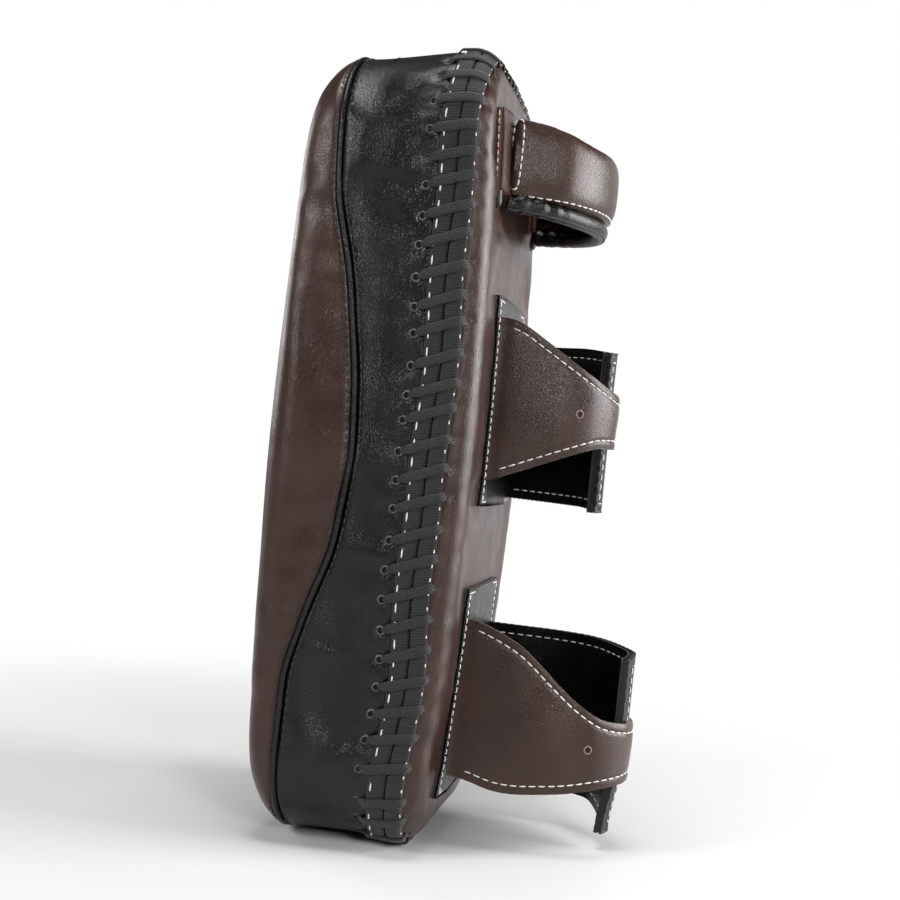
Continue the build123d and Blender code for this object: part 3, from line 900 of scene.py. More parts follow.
def build_lacing():
    """One flat braided cord, over the tapes and down through the punched holes."""
    paths = []
    for index, u in enumerate(LACE_U):
        drift = lace_slant(u)
        stations = []
        for s in np.linspace(0, 1, 21):
            t = FRONT_HOLE_T + 0.5 + (BACK_HOLE_T - FRONT_HOLE_T - 1.0) * s
            where = u + drift * s / RING_LEN
            here, run, across, up = skin_frame(where, t)
            hump = min(1.0, math.sin(math.pi * s) * 2.2)
            height = -1.6 + 3.6 * hump
            heading = unit(across * (BACK_HOLE_T - FRONT_HOLE_T) + run * drift)
            side = unit(np.cross(up, heading))
            width = CORD_W * (0.34 + 0.66 * min(1.0, math.sin(math.pi * s) * 2.6))
            stations.append((here + up * height, side, up, width, 1.15))
        paths.append(stations)
    cord = ribbon("lacing_cord_crossings", paths, [CORD])
    keep(cord, "pad", "lacing_cord", "lacing_cord")

    points, faces, marks = [], [], []
    for holes, radius in ((FRONT_HOLES, 1.7), (BACK_HOLES, 1.2)):
        for u, t in holes:
            here, run, across, up = skin_frame(u, t)
            start = len(points)
            rings = ((1.6, -0.7), (1.25, 0.35), (1.0, 0.45), (0.8, -0.4), (0.05, -0.9))
            for scale, rise in rings:
                for a in np.linspace(0, 2 * math.pi, 12, endpoint=False):
                    flat = run * math.cos(a) + across * math.sin(a)
                    points.append(here + flat * radius * scale + up * (rise - 0.7))
            faces += grid_faces(len(rings), 12, closed_columns=True, start=start)
            marks += [0] * 24 + [1] * 24
    # The outer rings of each hole carry the grey painted highlight, and the inner well is painted near-black as the
    # hole's shade.
    rims = new_mesh("lace_hole_rims", np.array(points), faces, [RIM_HIGHLIGHT, HOLE_SHADE], None, marks)
    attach(rims, "pad")


# ---------------------------------------------------------------- forearm loops
def rounded_path(corners, count, rounds=4):
    """Smooth path that cuts the corners of a polyline."""
    points = np.asarray(corners, float)
    for _ in range(rounds):
        first = points[:-1] * 0.72 + points[1:] * 0.28
        second = points[:-1] * 0.28 + points[1:] * 0.72
        middle = np.stack([first, second], 1).reshape(-1, points.shape[1])
        points = np.concatenate([points[:1], middle, points[-1:]])
    return resample(points, count)


def sheet(name, path, low, high, thick, materials, sag=None, cross=57, end_round=0.0, groove=4.6, deep=0.45):
    """Leather sheet along a plan-view path; low and high give its edges' heights at each share of the path.

    Returns the object and a function that gives a point and normal on its outer face."""
    count = len(path)
    run = tangents(path)
    outwards = np.stack([run[:, 1], -run[:, 0]], 1)
    share = np.linspace(0, 1, count)
    length = path_length(path)
    z_low = low(share)
    z_high = high(share)
    if end_round:
        left = (1 - share) * length
        bite = end_round - np.sqrt(np.clip(end_round**2 - (end_round - np.minimum(left, end_round)) ** 2, 0, None))
        z_low = z_low + bite
        z_high = z_high - bite
    width = np.linspace(0, 1, cross)

    def face_grid(depth, dent):
        w = width[None, :]
        tall = (z_high - z_low)[:, None]
        from_edge = np.minimum(w, 1 - w) * tall
        shift = depth - dent * np.exp(-(((from_edge - groove) / 1.1) ** 2))
        shift = shift + (sag(share[:, None], w) if sag else 0.0)
        points = np.empty((count, cross, 3))
        points[:, :, 0] = path[:, 0, None] + outwards[:, 0, None] * shift
        points[:, :, 1] = path[:, 1, None] + outwards[:, 1, None] * shift
        points[:, :, 2] = z_low[:, None] + tall * w
        return points

    outer = face_grid(0.0, deep)
    inner = face_grid(-thick, 0.0)
    size = count * cross
    faces = grid_faces(count, cross)
    marks = [0] * len(faces)
    back = [tuple(size + k for k in quad)[::-1] for quad in faces]
    marks += [1] * len(back)
    faces = faces + back
    border = [i * cross for i in range(count)]
    border += [(count - 1) * cross + j for j in range(1, cross)]
    border += [i * cross + cross - 1 for i in range(count - 2, -1, -1)]
    border += [j for j in range(cross - 2, 0, -1)]
    for a, b in zip(border, border[1:] + border[:1]):
        faces.append((b, a, size + a, size + b))
        marks.append(2)
    points = np.concatenate([outer.reshape(-1, 3), inner.reshape(-1, 3)])
    lengthwise = share * length
    uv = np.stack(np.broadcast_arrays(lengthwise[:, None], width[None, :] * 80), -1).reshape(-1, 2)
    obj = new_mesh(name, points, faces, materials, np.concatenate([uv, uv]), marks)
    bevel = obj.modifiers.new("soft edge", "BEVEL")
    bevel.width = 0.45 * MM
    bevel.segments = 2
    bevel.limit_method = "ANGLE"
    bevel.angle_limit = math.radians(50)

    def at(along, height_share):
        k = np.clip(along, 0, 1) * (count - 1)
        low_k = np.minimum(np.floor(k).astype(int), count - 2)
        part = k - low_k
        j = np.clip(height_share, 0, 1) * (cross - 1)
        low_j = np.minimum(np.floor(j).astype(int), cross - 2)
        part_j = j - low_j
        p = (outer[low_k, low_j] * ((1 - part) * (1 - part_j))[:, None]
             + outer[low_k + 1, low_j] * (part * (1 - part_j))[:, None]
             + outer[low_k, low_j + 1] * ((1 - part) * part_j)[:, None]
             + outer[low_k + 1, low_j + 1] * (part * part_j)[:, None])
        n = np.stack([outwards[low_k, 0], outwards[low_k, 1], np.zeros(len(low_k))], 1)
        return p, n

    return obj, at, (z_low, z_high, length)


def build_patch(prefix):
    """Base patch: a thin sheet laid on the back panel, its corners lifting a little, sewn all round."""
    low, high = box_mm(f"{prefix}_base_patch")
    rows, columns = 60, 54
    xs = np.linspace(low[0], high[0], columns)
    zs = np.linspace(low[2], high[2], rows)
    xx, zz = np.meshgrid(xs, zs)
    from_side = np.minimum(xx - low[0], high[0] - xx)
    from_end = np.minimum(zz - low[2], high[2] - zz)
    inset = 2.4
    line = np.minimum(from_side, from_end)
    dent = 0.5 * np.exp(-(((line - inset) / 1.1) ** 2))
    curl = 1.2 * np.exp(-(from_end / 5.0) ** 2) * smooth(4.0, 22.0, from_side)
    ruffle = 0.2 * np.sin(zz / 5.0 + xx / 9.0) * np.exp(-line / 4.0)
    face_y = back_y(zz) + 1.7 - dent + curl + ruffle - 0.7 * np.exp(-from_side / 1.2)
    top = np.stack([xx, face_y, zz], -1).reshape(-1, 3)
    bottom = top - np.array([0, 2.2, 0])
    size = rows * columns
    border = [i * columns for i in range(rows)] + [(rows - 1) * columns + j for j in range(1, columns)]
    border += [i * columns + columns - 1 for i in range(rows - 2, -1, -1)] + list(range(columns - 2, 0, -1))
    faces = [quad[::-1] for quad in grid_faces(rows, columns)]
    faces += [tuple(size + k for k in quad)[::-1] for quad in faces]
    faces += [(a, b, size + b, size + a) for a, b in zip(border, border[1:] + border[:1])]
    patch = new_mesh(f"{prefix}_base_patch_leather", np.concatenate([top, bottom]), faces, [BLACK])
    keep(patch, "pad", "black_leather", f"{prefix}_base_patch")
    x_low, x_high, z_low, z_high = low[0] + inset, high[0] - inset, low[2] + inset, high[2] - inset
    corners = [(x_low, z_low), (x_high, z_low), (x_high, z_high), (x_low, z_high), (x_low, z_low)]
    sides = [resample(np.array(corners[k:k + 2]), 90) for k in range(4)]
    for k, (side, length) in enumerate(zip(sides, (1.6, 3.2, 1.6, 3.2))):
        row = np.stack([side[:, 0], back_y(side[:, 1]) + 1.5, side[:, 1]], 1)
        up = np.tile([0.0, 1.0, 0.0], (len(row), 1))
        stitch_row(f"{prefix}_base_patch_stitches_{k}", row, up, "pad", length, 0.9, 0.40)


def build_strap(prefix, spec):
    """Brown strap: rises from its sewn foot, narrows and ends in a tongue over the flap."""
    strap_body = f"{prefix}_strap"
    strap_low, strap_high = box_mm(strap_body)
    foot_y = back_y((strap_low[2] + strap_high[2]) / 2) + 2.4
    base_x = spec["base_x"]
    corners = [(base_x + 1.2, foot_y - 1.6), (base_x + 0.4, foot_y + 1.5)] + spec["strap_corners"]
    path = rounded_path(corners, 120)
    shares_of_path = np.linspace(0, 1, len(path))
    apex = int(np.argmax(path[:, 1]))
    climb = np.where(np.arange(len(path)) <= apex, path[:, 1], path[apex, 1])
    low = smoothed(lambda s: np.interp(s, shares_of_path, np.interp(climb, *spec["low"])))
    high = smoothed(lambda s: np.interp(s, shares_of_path, np.interp(climb, *spec["high"])))

    def sag(share, w):
        belly = 2.2 * np.sin(np.pi * np.clip(share * 1.7, 0, 1)) * np.sin(np.pi * w)
        wave = 0.6 * np.sin(8 * share + 3 * w) * np.sin(np.pi * w)
        lip = 0.5 * (np.exp(-w / 0.04) + np.exp(-(1 - w) / 0.04)) * smooth(0.04, 0.2, share)
        return belly + wave - lip

    strap, at, _ = sheet(f"{prefix}_strap_leather", path, low, high, STRAP_T, [BROWN, BLACK, RAW_EDGE],
                         sag, end_round=9.0)
    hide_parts(f"{prefix}_strap", f"{prefix}_strap_lining")
    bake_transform(strap)
    build_tape(prefix, "hook", strap_body, path, STRAP_T, sag, float(low(1.0)), float(high(1.0)))

    fine = np.linspace(0, 1, 200)
    tall = high(fine) - low(fine)
    shares = np.linspace(0.05, 0.955, 220)
    edge_inset = 4.6 / np.interp(shares, fine, tall)
    end_low, end_high = edge_inset[-1], 1 - edge_inset[-1]
    across = np.linspace(end_low, end_high, 40)[1:-1]
    trail_s = np.concatenate([shares, np.full(38, shares[-1]), shares[::-1]])
    trail_w = np.concatenate([edge_inset, across, 1 - edge_inset[::-1]])
    points, normals = at(trail_s, trail_w)
    row = stitch_row(f"{prefix}_strap_stitches", points, normals, None, 4.0, 1.0, 0.38, lift=0.12)
    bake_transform(row)

    hole_y, hole_z = spec["hole"]
    hole_share = float(np.interp(hole_y, path[:apex, 1], shares_of_path[:apex]))
    hole_place = (hole_z - float(low(hole_share))) / (float(high(hole_share)) - float(low(hole_share)))
    points, normals = at(np.array([hole_share]), np.array([hole_place]))
    # The well of the strap hole is painted near-black as shade; its rim is the raw leather edge's own colour.
    rim = disc(f"{prefix}_strap_hole", points[0], normals[0], 1.9, [RAW_EDGE, HOLE_SHADE])
    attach(rim, strap_body)


def build_flap(prefix, spec):
    """Black flap: leather, padding and lining, seen as one thick layered edge."""
    flap_body = f"{prefix}_flap"
    path = offset_path(rounded_path(spec["flap_corners"], 110), 2.8)
    z_low, z_high = spec["flap_z"]

    def low(s):
        return z_low + spec["flap_droop"] * smooth(0.62, 1.0, s)

    def high(s):
        return z_high - 3.0 * smooth(0.5, 1.0, s) - spec["flap_curl"] * smooth(0.9, 1.0, s)

    def sag(share, w):
        belly = 0.8 * np.sin(np.pi * share) * np.sin(np.pi * w)
        curl = spec["flap_flare"] * smooth(0.6, 1.0, share) * smooth(0.45, 0.0, w)
        return belly + curl

    layers = (
        ("leather", 0.0, 1.7, [BLACK, BLACK, BLACK_EDGE], 0.0, f"{prefix}_flap"),
        ("padding", -1.75, 1.5, [FELT, FELT, BLACK_EDGE], 0.7, f"{prefix}_flap_padding"),
        ("lining", -3.3, 1.5, [BLACK, BLACK, BLACK_EDGE], 0.1, f"{prefix}_flap_lining"),
    )
    faces_at = []
    for label, depth, thick, materials, trim, node in layers:
        piece, at, _ = sheet(
            f"{prefix}_flap_{label}_sheet", offset_path(path, depth), lambda s: low(s) + trim,
            lambda s: high(s) - trim, thick, materials, sag, groove=5.0, deep=0.3 if label == "leather" else 0.0,
        )
        keep(piece, flap_body, "felt" if label == "padding" else "black_leather", node)
        faces_at.append(at)
    build_tape(prefix, "loop", flap_body, path, 4.8, sag, z_low, z_high)
    margin = 5.0 / (z_high - z_low)
    shares = np.linspace(0.05, 0.955, 140)
    across = np.linspace(margin, 1 - margin, 70)[1:-1]
    trail_s = np.concatenate([shares, np.full(68, shares[-1]), shares[::-1]])
    trail_w = np.concatenate([np.full(140, margin), across, np.full(140, 1 - margin)])
    for label, at, flip, depth in (("outer", faces_at[0], 1, 0.0), ("inner", faces_at[2], -1, 1.5)):
        points, normals = at(trail_s, trail_w)
        stitch_row(f"{prefix}_flap_stitches_{label}", points - normals * depth, normals * flip, flap_body,
                   3.8, 1.5, 0.36)


def build_loop(prefix, spec):
    """Base patch, tapered strap and padded flap of one forearm loop."""
    build_patch(prefix)
    build_strap(prefix, spec)
    build_flap(prefix, spec)


def build_tape(prefix, kind, body, path, depth, parent_sag, z_low, z_high):
    """Hook or loop tape sewn to a leather sheet, facing the other tape, where the CAD tape lies."""
    low, high = box_mm(f"{prefix}_{kind}_tape")
    held = np.flatnonzero((path[:, 0] > low[0]) & (path[:, 0] < high[0]) & (path[:, 1] > low[1] - 12.0))
    first, last = held[0] / (len(path) - 1), held[-1] / (len(path) - 1)
    place_low, place_high = ((z - z_low) / (z_high - z_low) for z in (low[2], high[2]))

    def bulge(share, w):
        return -parent_sag(last + share * (first - last), place_low + w * (place_high - place_low))

    strip = resample(offset_path(path, -depth - TOUCH_T)[held[0]:held[-1] + 1], 60)[::-1]
    tape, at, _ = sheet(
        f"{prefix}_{kind}_tape_strip", strip, lambda s: low[2] + 0 * s, lambda s: high[2] + 0 * s, TOUCH_T,
        [TOUCH, TOUCH, TAPE], bulge, cross=25, groove=2.0, deep=0.3,
    )
    keep(tape, body, "touch_tape", f"{prefix}_{kind}_tape")
    inset = 2.0 / (high[2] - low[2])
    for label, place in (("low", inset), ("high", 1 - inset)):
        points, normals = at(np.linspace(0.04, 0.96, 60), np.full(60, place))
        stitch_row(f"{prefix}_{kind}_tape_stitches_{label}", points, normals, body, 2.6, 1.0, 0.25, DARK_THREAD)


def smoothed(edge):
    """The same edge line with its corners eased."""
    grid = np.linspace(0, 1, 200)
    values = edge(grid)
    for _ in range(40):
        values[1:-1] = (values[:-2] + 2 * values[1:-1] + values[2:]) / 4
    return lambda s: np.interp(s, grid, values)


def offset_path(path, depth):
    """Plan-view path moved along its outward side by depth."""
    run = tangents(path)
    outwards = np.stack([run[:, 1], -run[:, 0]], 1)
    return path + outwards * depth


def disc(name, centre, normal, radius, materials):
    """Punched hole: a raised rim round a well painted near-black as the hole's shade."""
    guide = np.array([0.0, 0.0, 1.0])
    side = unit(np.cross(normal, guide))
    other = np.cross(side, normal)
    points, marks = [], []
    rings = ((1.25, 0.02), (1.05, 0.28), (0.85, 0.25), (0.72, 0.08), (0.05, 0.06))
    for scale, rise in rings:
        for a in np.linspace(0, 2 * math.pi, 24, endpoint=False):
            points.append(centre + (side * math.cos(a) + other * math.sin(a)) * radius * scale + normal * rise)
    faces = grid_faces(len(rings), 24, closed_columns=True)
    marks = [0] * 48 + [1] * 48
    return new_mesh(name, np.array(points), faces, materials, None, marks)


# ---------------------------------------------------------------- handle
def arc_frame(angle):
    """Outward direction in plan at an angle round the handle's arch."""
    angle = np.asarray(angle, float)
    return np.stack([np.sin(angle), np.cos(angle), np.zeros_like(angle)], -1)


def build_handle():
    """Padded grip: brown cover, black lining, rolled lower edge and a layered tab at each end."""
    low, high = box_mm("handle_cover")
    roll_low, roll_high = box_mm("handle_roll")
    outer_r = (high[0] - low[0]) / 2
    thick = 19.0
    middle_r = outer_r - thick / 2
    axis = np.array([0.0, high[1] - outer_r, 0.0])
    foot_y = low[1] - 3.0
    reach = math.acos((foot_y - axis[1]) / middle_r)
    z_foot_low, z_foot_high = low[2] + 3.5, high[2] + 1.5
    z_top_low, z_top_high = low[2] + 1.5, high[2] - 5.0
    sides, count = 44, 130

    def heights(angle):
        share = smooth(0.30, 1.0, abs(angle) / reach)
        return (z_top_low + (z_foot_low - z_top_low) * share, z_top_high + (z_foot_high - z_top_high) * share)

    points = []
    for angle in np.linspace(-reach, reach, count):
        outward = arc_frame(angle)
        z_low, z_high = heights(angle)
        away = 1 - abs(angle) / reach
        puff = 0.40 + 0.60 * float(smooth(0.13, 0.42, away))
        rise = 1.0
        centre = axis + outward * (middle_r + 1.5) + np.array([0, 0, (z_low + z_high) / 2])
        for b in np.linspace(0, 2 * math.pi, sides, endpoint=False):
            c, d = math.cos(b), math.sin(b)
            x = math.copysign(abs(c) ** 0.8, c) * thick / 2 * puff * 0.92
            z = math.copysign(abs(d) ** 0.62, d) * ((z_high - z_low) / 2 - 0.6) * rise
            points.append(centre + outward * x + np.array([0, 0, z]))
    faces = grid_faces(count, sides, closed_columns=True)
    faces.append(tuple(range(sides))[::-1])
    faces.append(tuple((count - 1) * sides + k for k in range(sides)))
    grip = new_mesh("handle_grip", np.array(points), faces, [BROWN, BLACK])
    remesh = grip.modifiers.new("remesh", "REMESH")
    remesh.mode = "VOXEL"
    remesh.voxel_size = 2.6 * MM
    graph = bpy.context.evaluated_depsgraph_get()
    solid = bpy.data.meshes.new_from_object(grip.evaluated_get(graph))
    grip.modifiers.clear()
    grip.data = solid
    inflate(grip, 4.0, 3.0)
    grip.data.materials.clear()
    for material in (BROWN, BLACK):
        grip.data.materials.append(material)
    for face in grip.data.polygons:
        centre = np.array(face.center) / MM
        far = math.hypot(centre[0], centre[1] - axis[1])
        z_low, _ = heights(math.atan2(centre[0], centre[1] - axis[1]))
        face.material_index = 1 if far < middle_r - 1.0 or centre[2] < z_low + 1.5 else 0
        face.use_smooth = True
    subdivide = grip.modifiers.new("smooth", "SUBSURF")
    subdivide.levels = 1
    subdivide.render_levels = 1
    keep(grip, "pad", "brown_leather", "handle_cover", "handle_lining", "handle_foam")

    roll_z = (roll_low[2] + roll_high[2]) / 2
    angles = np.linspace(-reach * 0.99, reach * 0.99, 420)
    outward = arc_frame(angles)
    near_end = smooth(0.42, 0.95, np.abs(angles) / reach)
    gather = np.sin(angles * 46 + 0.8 * np.sin(angles * 9)) * near_end
    lift = np.array([0.0, 0.0, 1.0])
    centres = axis + outward * (middle_r + 2.2)
    grip_bottom = np.array([heights(angle)[0] for angle in angles])
    centres = centres + lift * (grip_bottom - 2.4 + 0.3 * gather)[:, None]
    radii = 4.7 + 0.55 * gather - 0.6 * smooth(0.93, 1.0, np.abs(angles) / reach)
    roll = tube("handle_roll_edge", centres, radii, BLACK, sides=20, squash_normals=outward)
    keep(roll, "pad", "black_leather", "handle_roll")
    crease = centres + outward * 3.0 - lift * 3.4
    cord = tube("handle_roll_piping", crease, 0.7, BLACK_EDGE, sides=8, squash_normals=outward)
    keep(cord, "pad", "black_leather")
    skin = BVHTree.FromPolygons([v.co[:] for v in grip.data.vertices], [f.vertices[:] for f in grip.data.polygons])
    inner_angles = angles[(np.abs(angles) < reach * 0.93)]
    places = axis + arc_frame(inner_angles) * (outer_r + 25) + lift * (roll_z + 10.0)
    seam, seam_up = cast(skin, places, -arc_frame(inner_angles))
    stitch_row("handle_lower_stitches", seam, seam_up, "pad", 3.8, 1.0, 0.40, None, 0.1)

    for side, node in ((1, "handle_tab_right"), (-1, "handle_tab_left")):
        build_tab(node, side, skin)


def cast(skin, places, ways):
    """Where rays from places meet a surface, and its normals there."""
    hits, normals = [], []
    for place, way in zip(places, ways):
        hit, normal, _, _ = skin.ray_cast(Vector(place * MM), Vector(way))
        if hit is not None:
            facing = np.array(normal) * (-1 if normal.dot(Vector(way)) > 0 else 1)
            hits.append(np.array(hit) / MM)
            normals.append(facing)
    return np.array(hits), np.array(normals)


def build_tab(node, side, skin):
    """End tab of the handle: two leather layers with raw edges round a sewn line, and a boxed seam."""
    tab_low, tab_high = box_mm(node)
    x_out = tab_high[0] if side > 0 else tab_low[0]
    x_in = tab_low[0] if side > 0 else tab_high[0]
    z_low, z_high = tab_low[2] + 1.0, tab_high[2] + 0.5
    for layer, lift, grow in (("lower", -0.2, 0.0), ("upper", 2.7, 0.4)):
        piece = tab_layer(f"{node}_{layer}", x_in, x_out + side * grow, z_low, z_high, lift, 2.3)
        nodes = (node,) if layer == "upper" else ()
        keep(piece, "pad", "tan_leather_edge", *nodes)
    zs = np.linspace(z_low + 1, z_high - 1, 80)
    edge = np.stack([np.full(80, x_out + side * 0.2), tab_y(zs, x_out) + 2.4, zs], 1)
    stitch_row(f"{node}_edge_stitches", edge, np.tile([float(side), 0.2, 0], (80, 1)), "pad", 3.0, 0.8, 0.38)
    # The boxed seam is a long oval on the handle's root.
    turn = np.linspace(0, 2 * math.pi, 300)
    rise = np.sign(np.cos(turn)) * np.abs(np.cos(turn)) ** 0.5 * 2.9
    along = np.sign(np.sin(turn)) * np.abs(np.sin(turn)) ** 0.8 * ((z_high - z_low) / 2 - 3.0)
    start = np.stack([np.full(300, side * 110.0), tab_low[1] + 8.2 + rise, (z_low + z_high) / 2 + along + 0.5], 1)
    ring, ring_up = cast(skin, start, np.tile([-float(side), 0.0, 0.0], (300, 1)))
    stitch_row(f"{node}_box_stitches", ring, ring_up, "pad", 3.2, 0.8, 0.40)
    fall = np.linspace(0, 1, 12)
    knob = np.stack([
        x_out - side * (1.5 + 1.0 * fall),
        tab_y(z_low, x_out) + 2.6 + 1.0 * fall,
        z_low + 1.0 - 9.0 * np.sin(fall * 1.5),
    ], 1)
    stub = tube(f"{node}_lining_end", knob, np.interp(fall, [0, 0.6, 1], [2.8, 2.7, 1.4]), BLACK, sides=14)
    keep(stub, "pad", "black_leather")


def tab_y(z, x):
    """Height of the back panel under a handle tab."""
    return back_y(np.asarray(z, float)) - 6.0 * smooth(60.0, 95.0, abs(x))


def tab_layer(name, x_in, x_out, z_low, z_high, lift, thick):
    """One leather layer of a handle tab, laid on the back panel."""
    rows, columns = 24, 14
    xs = np.linspace(x_in, x_out, columns)
    zs = np.linspace(z_low, z_high, rows)
    rough = 0.25 * np.sin(zs * 1.7) + 0.2 * np.sin(zs * 0.6 + lift)
    top = np.array([[(x + r * (x == x_out), float(tab_y(z, x)) + lift + thick, z) for x in xs] for z, r in zip(zs, rough)])
    bottom = top - np.array([0, thick, 0])
    size = rows * columns
    faces = grid_faces(rows, columns)
    marks = [0] * len(faces) * 2
    faces = faces + [tuple(size + k for k in quad)[::-1] for quad in faces]
    border = [i * columns for i in range(rows)] + [(rows - 1) * columns + j for j in range(1, columns)]
    border += [i * columns + columns - 1 for i in range(rows - 2, -1, -1)] + list(range(columns - 2, 0, -1))
    for a, b in zip(border, border[1:] + border[:1]):
        faces.append((b, a, size + a, size + b))
        marks.append(1)
    return new_mesh(name, np.concatenate([top.reshape(-1, 3), bottom.reshape(-1, 3)]), faces, [BROWN, RED_EDGE], None,
                    marks)


# ---------------------------------------------------------------- hidden filling
def build_filling():
    """The foam stack inside the leather, as closed slices from the strike face to the back."""
    columns, rows = 304, 40
    u = np.arange(columns) / columns
    slices = (
        ("strike_foam", 0.0, 0.40, FOAM, "closed_cell_foam"),
        ("core_foam", 0.41, 0.74, FOAM, "closed_cell_foam"),
        ("stiffener_sheet", 0.75, 0.79, TOUCH, "stiffener"),
        ("back_foam", 0.80, 1.0, FOAM, "closed_cell_foam"),
    )
    for node, first, last, material, slot in slices:
        low, high = front_y(MID_Z) + 3, back_y(MID_Z) - 3
        y_low, y_high = low + (high - low) * first, low + (high - low) * last
        share = np.linspace(0.0, 1.0, rows)[:, None]
        t = spine_front_t(u)[None, :] * (1 - share) + spine_back_t(u)[None, :] * share
        here, _, _, up = skin_frame(np.broadcast_to(u[None, :], t.shape), t)
        points = here - up * 4.5
        points[..., 1] = np.clip(points[..., 1], y_low, y_high)
        faces = grid_faces(rows, columns, closed_columns=True)
        piece = new_mesh(node + "_filling", points.reshape(-1, 3), faces, [material])
        weld(piece, 0.2)
        keep(piece, "pad", slot, node)


# ---------------------------------------------------------------- stage, light, camera
def floor_material():
    """Pale floor that fades into the white backdrop away from the pad."""
    material, tree, shader = nodes_of("pale_floor")
    shader.inputs["Base Color"].default_value = (0.62, 0.62, 0.62, 1)
    shader.inputs["Roughness"].default_value = 0.55
    place = coordinates(tree)
    far = tree.nodes.new("ShaderNodeVectorMath")
    far.operation = "LENGTH"
    link(tree, place, far.inputs[0])
    fade = tree.nodes.new("ShaderNodeMapRange")
    fade.interpolation_type = "SMOOTHSTEP"
    fade.inputs["From Min"].default_value = 0.18
    fade.inputs["From Max"].default_value = 0.62
    link(tree, far.outputs["Value"], fade.inputs["Value"])
    seen = tree.nodes.new("ShaderNodeLightPath")
    both = tree.nodes.new("ShaderNodeMath")
    both.operation = "MULTIPLY"
    link(tree, fade.outputs[0], both.inputs[0])
    link(tree, seen.outputs["Is Camera Ray"], both.inputs[1])
    glow = tree.nodes.new("ShaderNodeEmission")
    mix = tree.nodes.new("ShaderNodeMixShader")
    out = next(node for node in tree.nodes if node.bl_idname == "ShaderNodeOutputMaterial")
    link(tree, both.outputs[0], mix.inputs[0])
    link(tree, shader.outputs[0], mix.inputs[1])
    link(tree, glow.outputs[0], mix.inputs[2])
    link(tree, mix.outputs[0], out.inputs[0])
    return material


def build_stage():
    bpy.context.scene.view_settings.view_transform = "Standard"
    floor_mesh = bmesh.new()
    bmesh.ops.create_grid(floor_mesh, x_segments=2, y_segments=2, size=6.0)
    data = bpy.data.meshes.new("floor")
    floor_mesh.to_mesh(data)
    floor_mesh.free()
    floor = bpy.data.objects.new("floor", data)
    floor.location.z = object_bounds()[0][2]
    bpy.context.scene.collection.objects.link(floor)
    data.materials.append(floor_material())

    world = bpy.data.worlds.new("studio")
    bpy.context.scene.world = world
    world.use_nodes = True
    tree = world.node_tree
    tree.nodes.clear()
    out = tree.nodes.new("ShaderNodeOutputWorld")
    seen = tree.nodes.new("ShaderNodeBackground")
    seen.inputs[0].default_value = (1, 1, 1, 1)
    seen.inputs[1].default_value = 1.0
    lit = tree.nodes.new("ShaderNodeBackground")
    lit.inputs[0].default_value = (1, 1, 1, 1)
    lit.inputs[1].default_value = 0.10
    mix = tree.nodes.new("ShaderNodeMixShader")
    path = tree.nodes.new("ShaderNodeLightPath")
    tree.links.new(path.outputs["Is Camera Ray"], mix.inputs[0])
    tree.links.new(lit.outputs[0], mix.inputs[1])
    tree.links.new(seen.outputs[0], mix.inputs[2])
    tree.links.new(mix.outputs[0], out.inputs[0])

    aim = Vector((0, 0.02, 0.21))
    lights = (
        ("key", (1.25, -1.10, 0.95), 0.50, 20.0),
        ("back_rim", (-0.25, 1.20, 0.50), 0.8, 26.0),
        ("far_side", (-1.45, 0.50, 0.45), 1.1, 3.0),
        ("top", (0.25, 0.0, 1.8), 0.6, 18.0),
        ("front_rim", (-0.9, -1.5, 0.6), 0.6, 10.0),
        ("camera_side", (1.55, 0.95, 0.75), 0.40, 14.0),
    )
    for name, place, size, power in lights:
        lamp = bpy.data.lights.new(name, "AREA")
        lamp.shape = "SQUARE"
        lamp.size = size
        lamp.energy = power
        obj = bpy.data.objects.new(name, lamp)
        obj.location = place
        obj.visible_camera = False
        obj.rotation_mode = "QUATERNION"
        obj.rotation_quaternion = (aim - Vector(place)).to_track_quat("-Z", "Y")
        bpy.context.scene.collection.objects.link(obj)


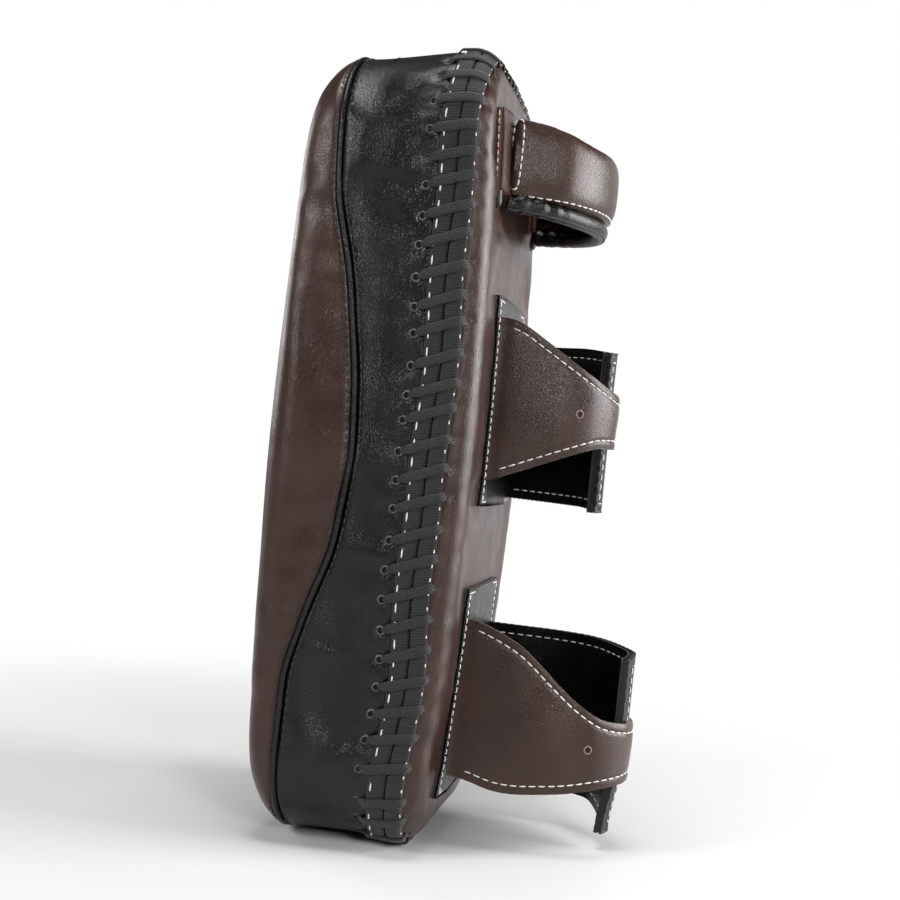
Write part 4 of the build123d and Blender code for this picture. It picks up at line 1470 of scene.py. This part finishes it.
def build_camera():
    """Camera level with the pad's middle, on its +X side and slightly behind, rolled so that the pad leans."""
    azimuth = math.radians(100.0)
    distance = 0.85
    lean = math.radians(6.0)
    aim = Vector((0, 0.024, 0.208))
    back = Vector((math.sin(azimuth), -math.cos(azimuth), 0))
    lens = bpy.data.cameras.new("camera")
    lens.sensor_width = 36.0
    lens.lens = 60.4
    camera = bpy.data.objects.new("camera", lens)
    camera.location = aim + back * distance
    facing = (-back).to_track_quat("-Z", "Y")
    camera.rotation_mode = "QUATERNION"
    camera.rotation_quaternion = facing @ Vector((0, 0, 1)).rotation_difference(Vector((0, 0, 1)))
    camera.rotation_quaternion = facing
    camera.rotation_quaternion.rotate(roll_about(back, lean))
    bpy.context.scene.collection.objects.link(camera)
    bpy.context.scene.camera = camera


def roll_about(axis, angle):
    from mathutils import Quaternion
    return Quaternion(axis, angle)


UPPER = {
    "base_x": 44.0,
    "strap_corners": [(44.0, 62.0), (34.0, 108.0), (-8.0, 121.6), (-41.0, 84.0)],
    "low": ([52.0, 58.0, 108.0, 114.0], [194.0, 195.5, 217.0, 217.5]),
    "high": ([52.0, 58.0, 66.0, 116.0], [281.0, 281.0, 278.0, 246.5]),
    "flap_corners": [(-45.2, 52.6), (-44.2, 58.0), (-35.8, 79.0), (-7.0, 112.4), (8.0, 107.4)],
    "flap_z": (184.0, 273.0),
    "flap_droop": -2.0,
    "flap_curl": 0.0,
    "flap_flare": 0.0,
    "hole": (97.0, 234.0),
}
LOWER = {
    "base_x": 44.0,
    "strap_corners": [(44.0, 62.0), (37.0, 130.0), (-8.0, 148.6), (-50.0, 112.0)],
    "low": ([52.0, 58.0, 72.0, 84.0, 110.0, 134.0, 146.0], [36.0, 35.0, 30.5, 30.0, 33.0, 37.5, 39.5]),
    "high": ([52.0, 58.0, 70.0, 82.0, 98.0, 112.0, 126.0, 146.0], [120.0, 119.0, 114.0, 108.0, 94.0, 82.0, 73.0, 69.0]),
    "flap_corners": [(-45.2, 50.6), (-44.4, 58.0), (-44.6, 107.0), (-7.2, 139.6), (5.2, 134.2)],
    "flap_z": (19.0, 110.0),
    "flap_droop": -12.0,
    "flap_curl": 3.0,
    "flap_flare": 6.0,
    "hole": (120.0, 57.5),
}

build_panels()
build_seams()
build_binding()
build_lacing()
build_handle()
build_loop("upper", UPPER)
build_loop("lower", LOWER)
build_filling()
build_stage()
build_camera()
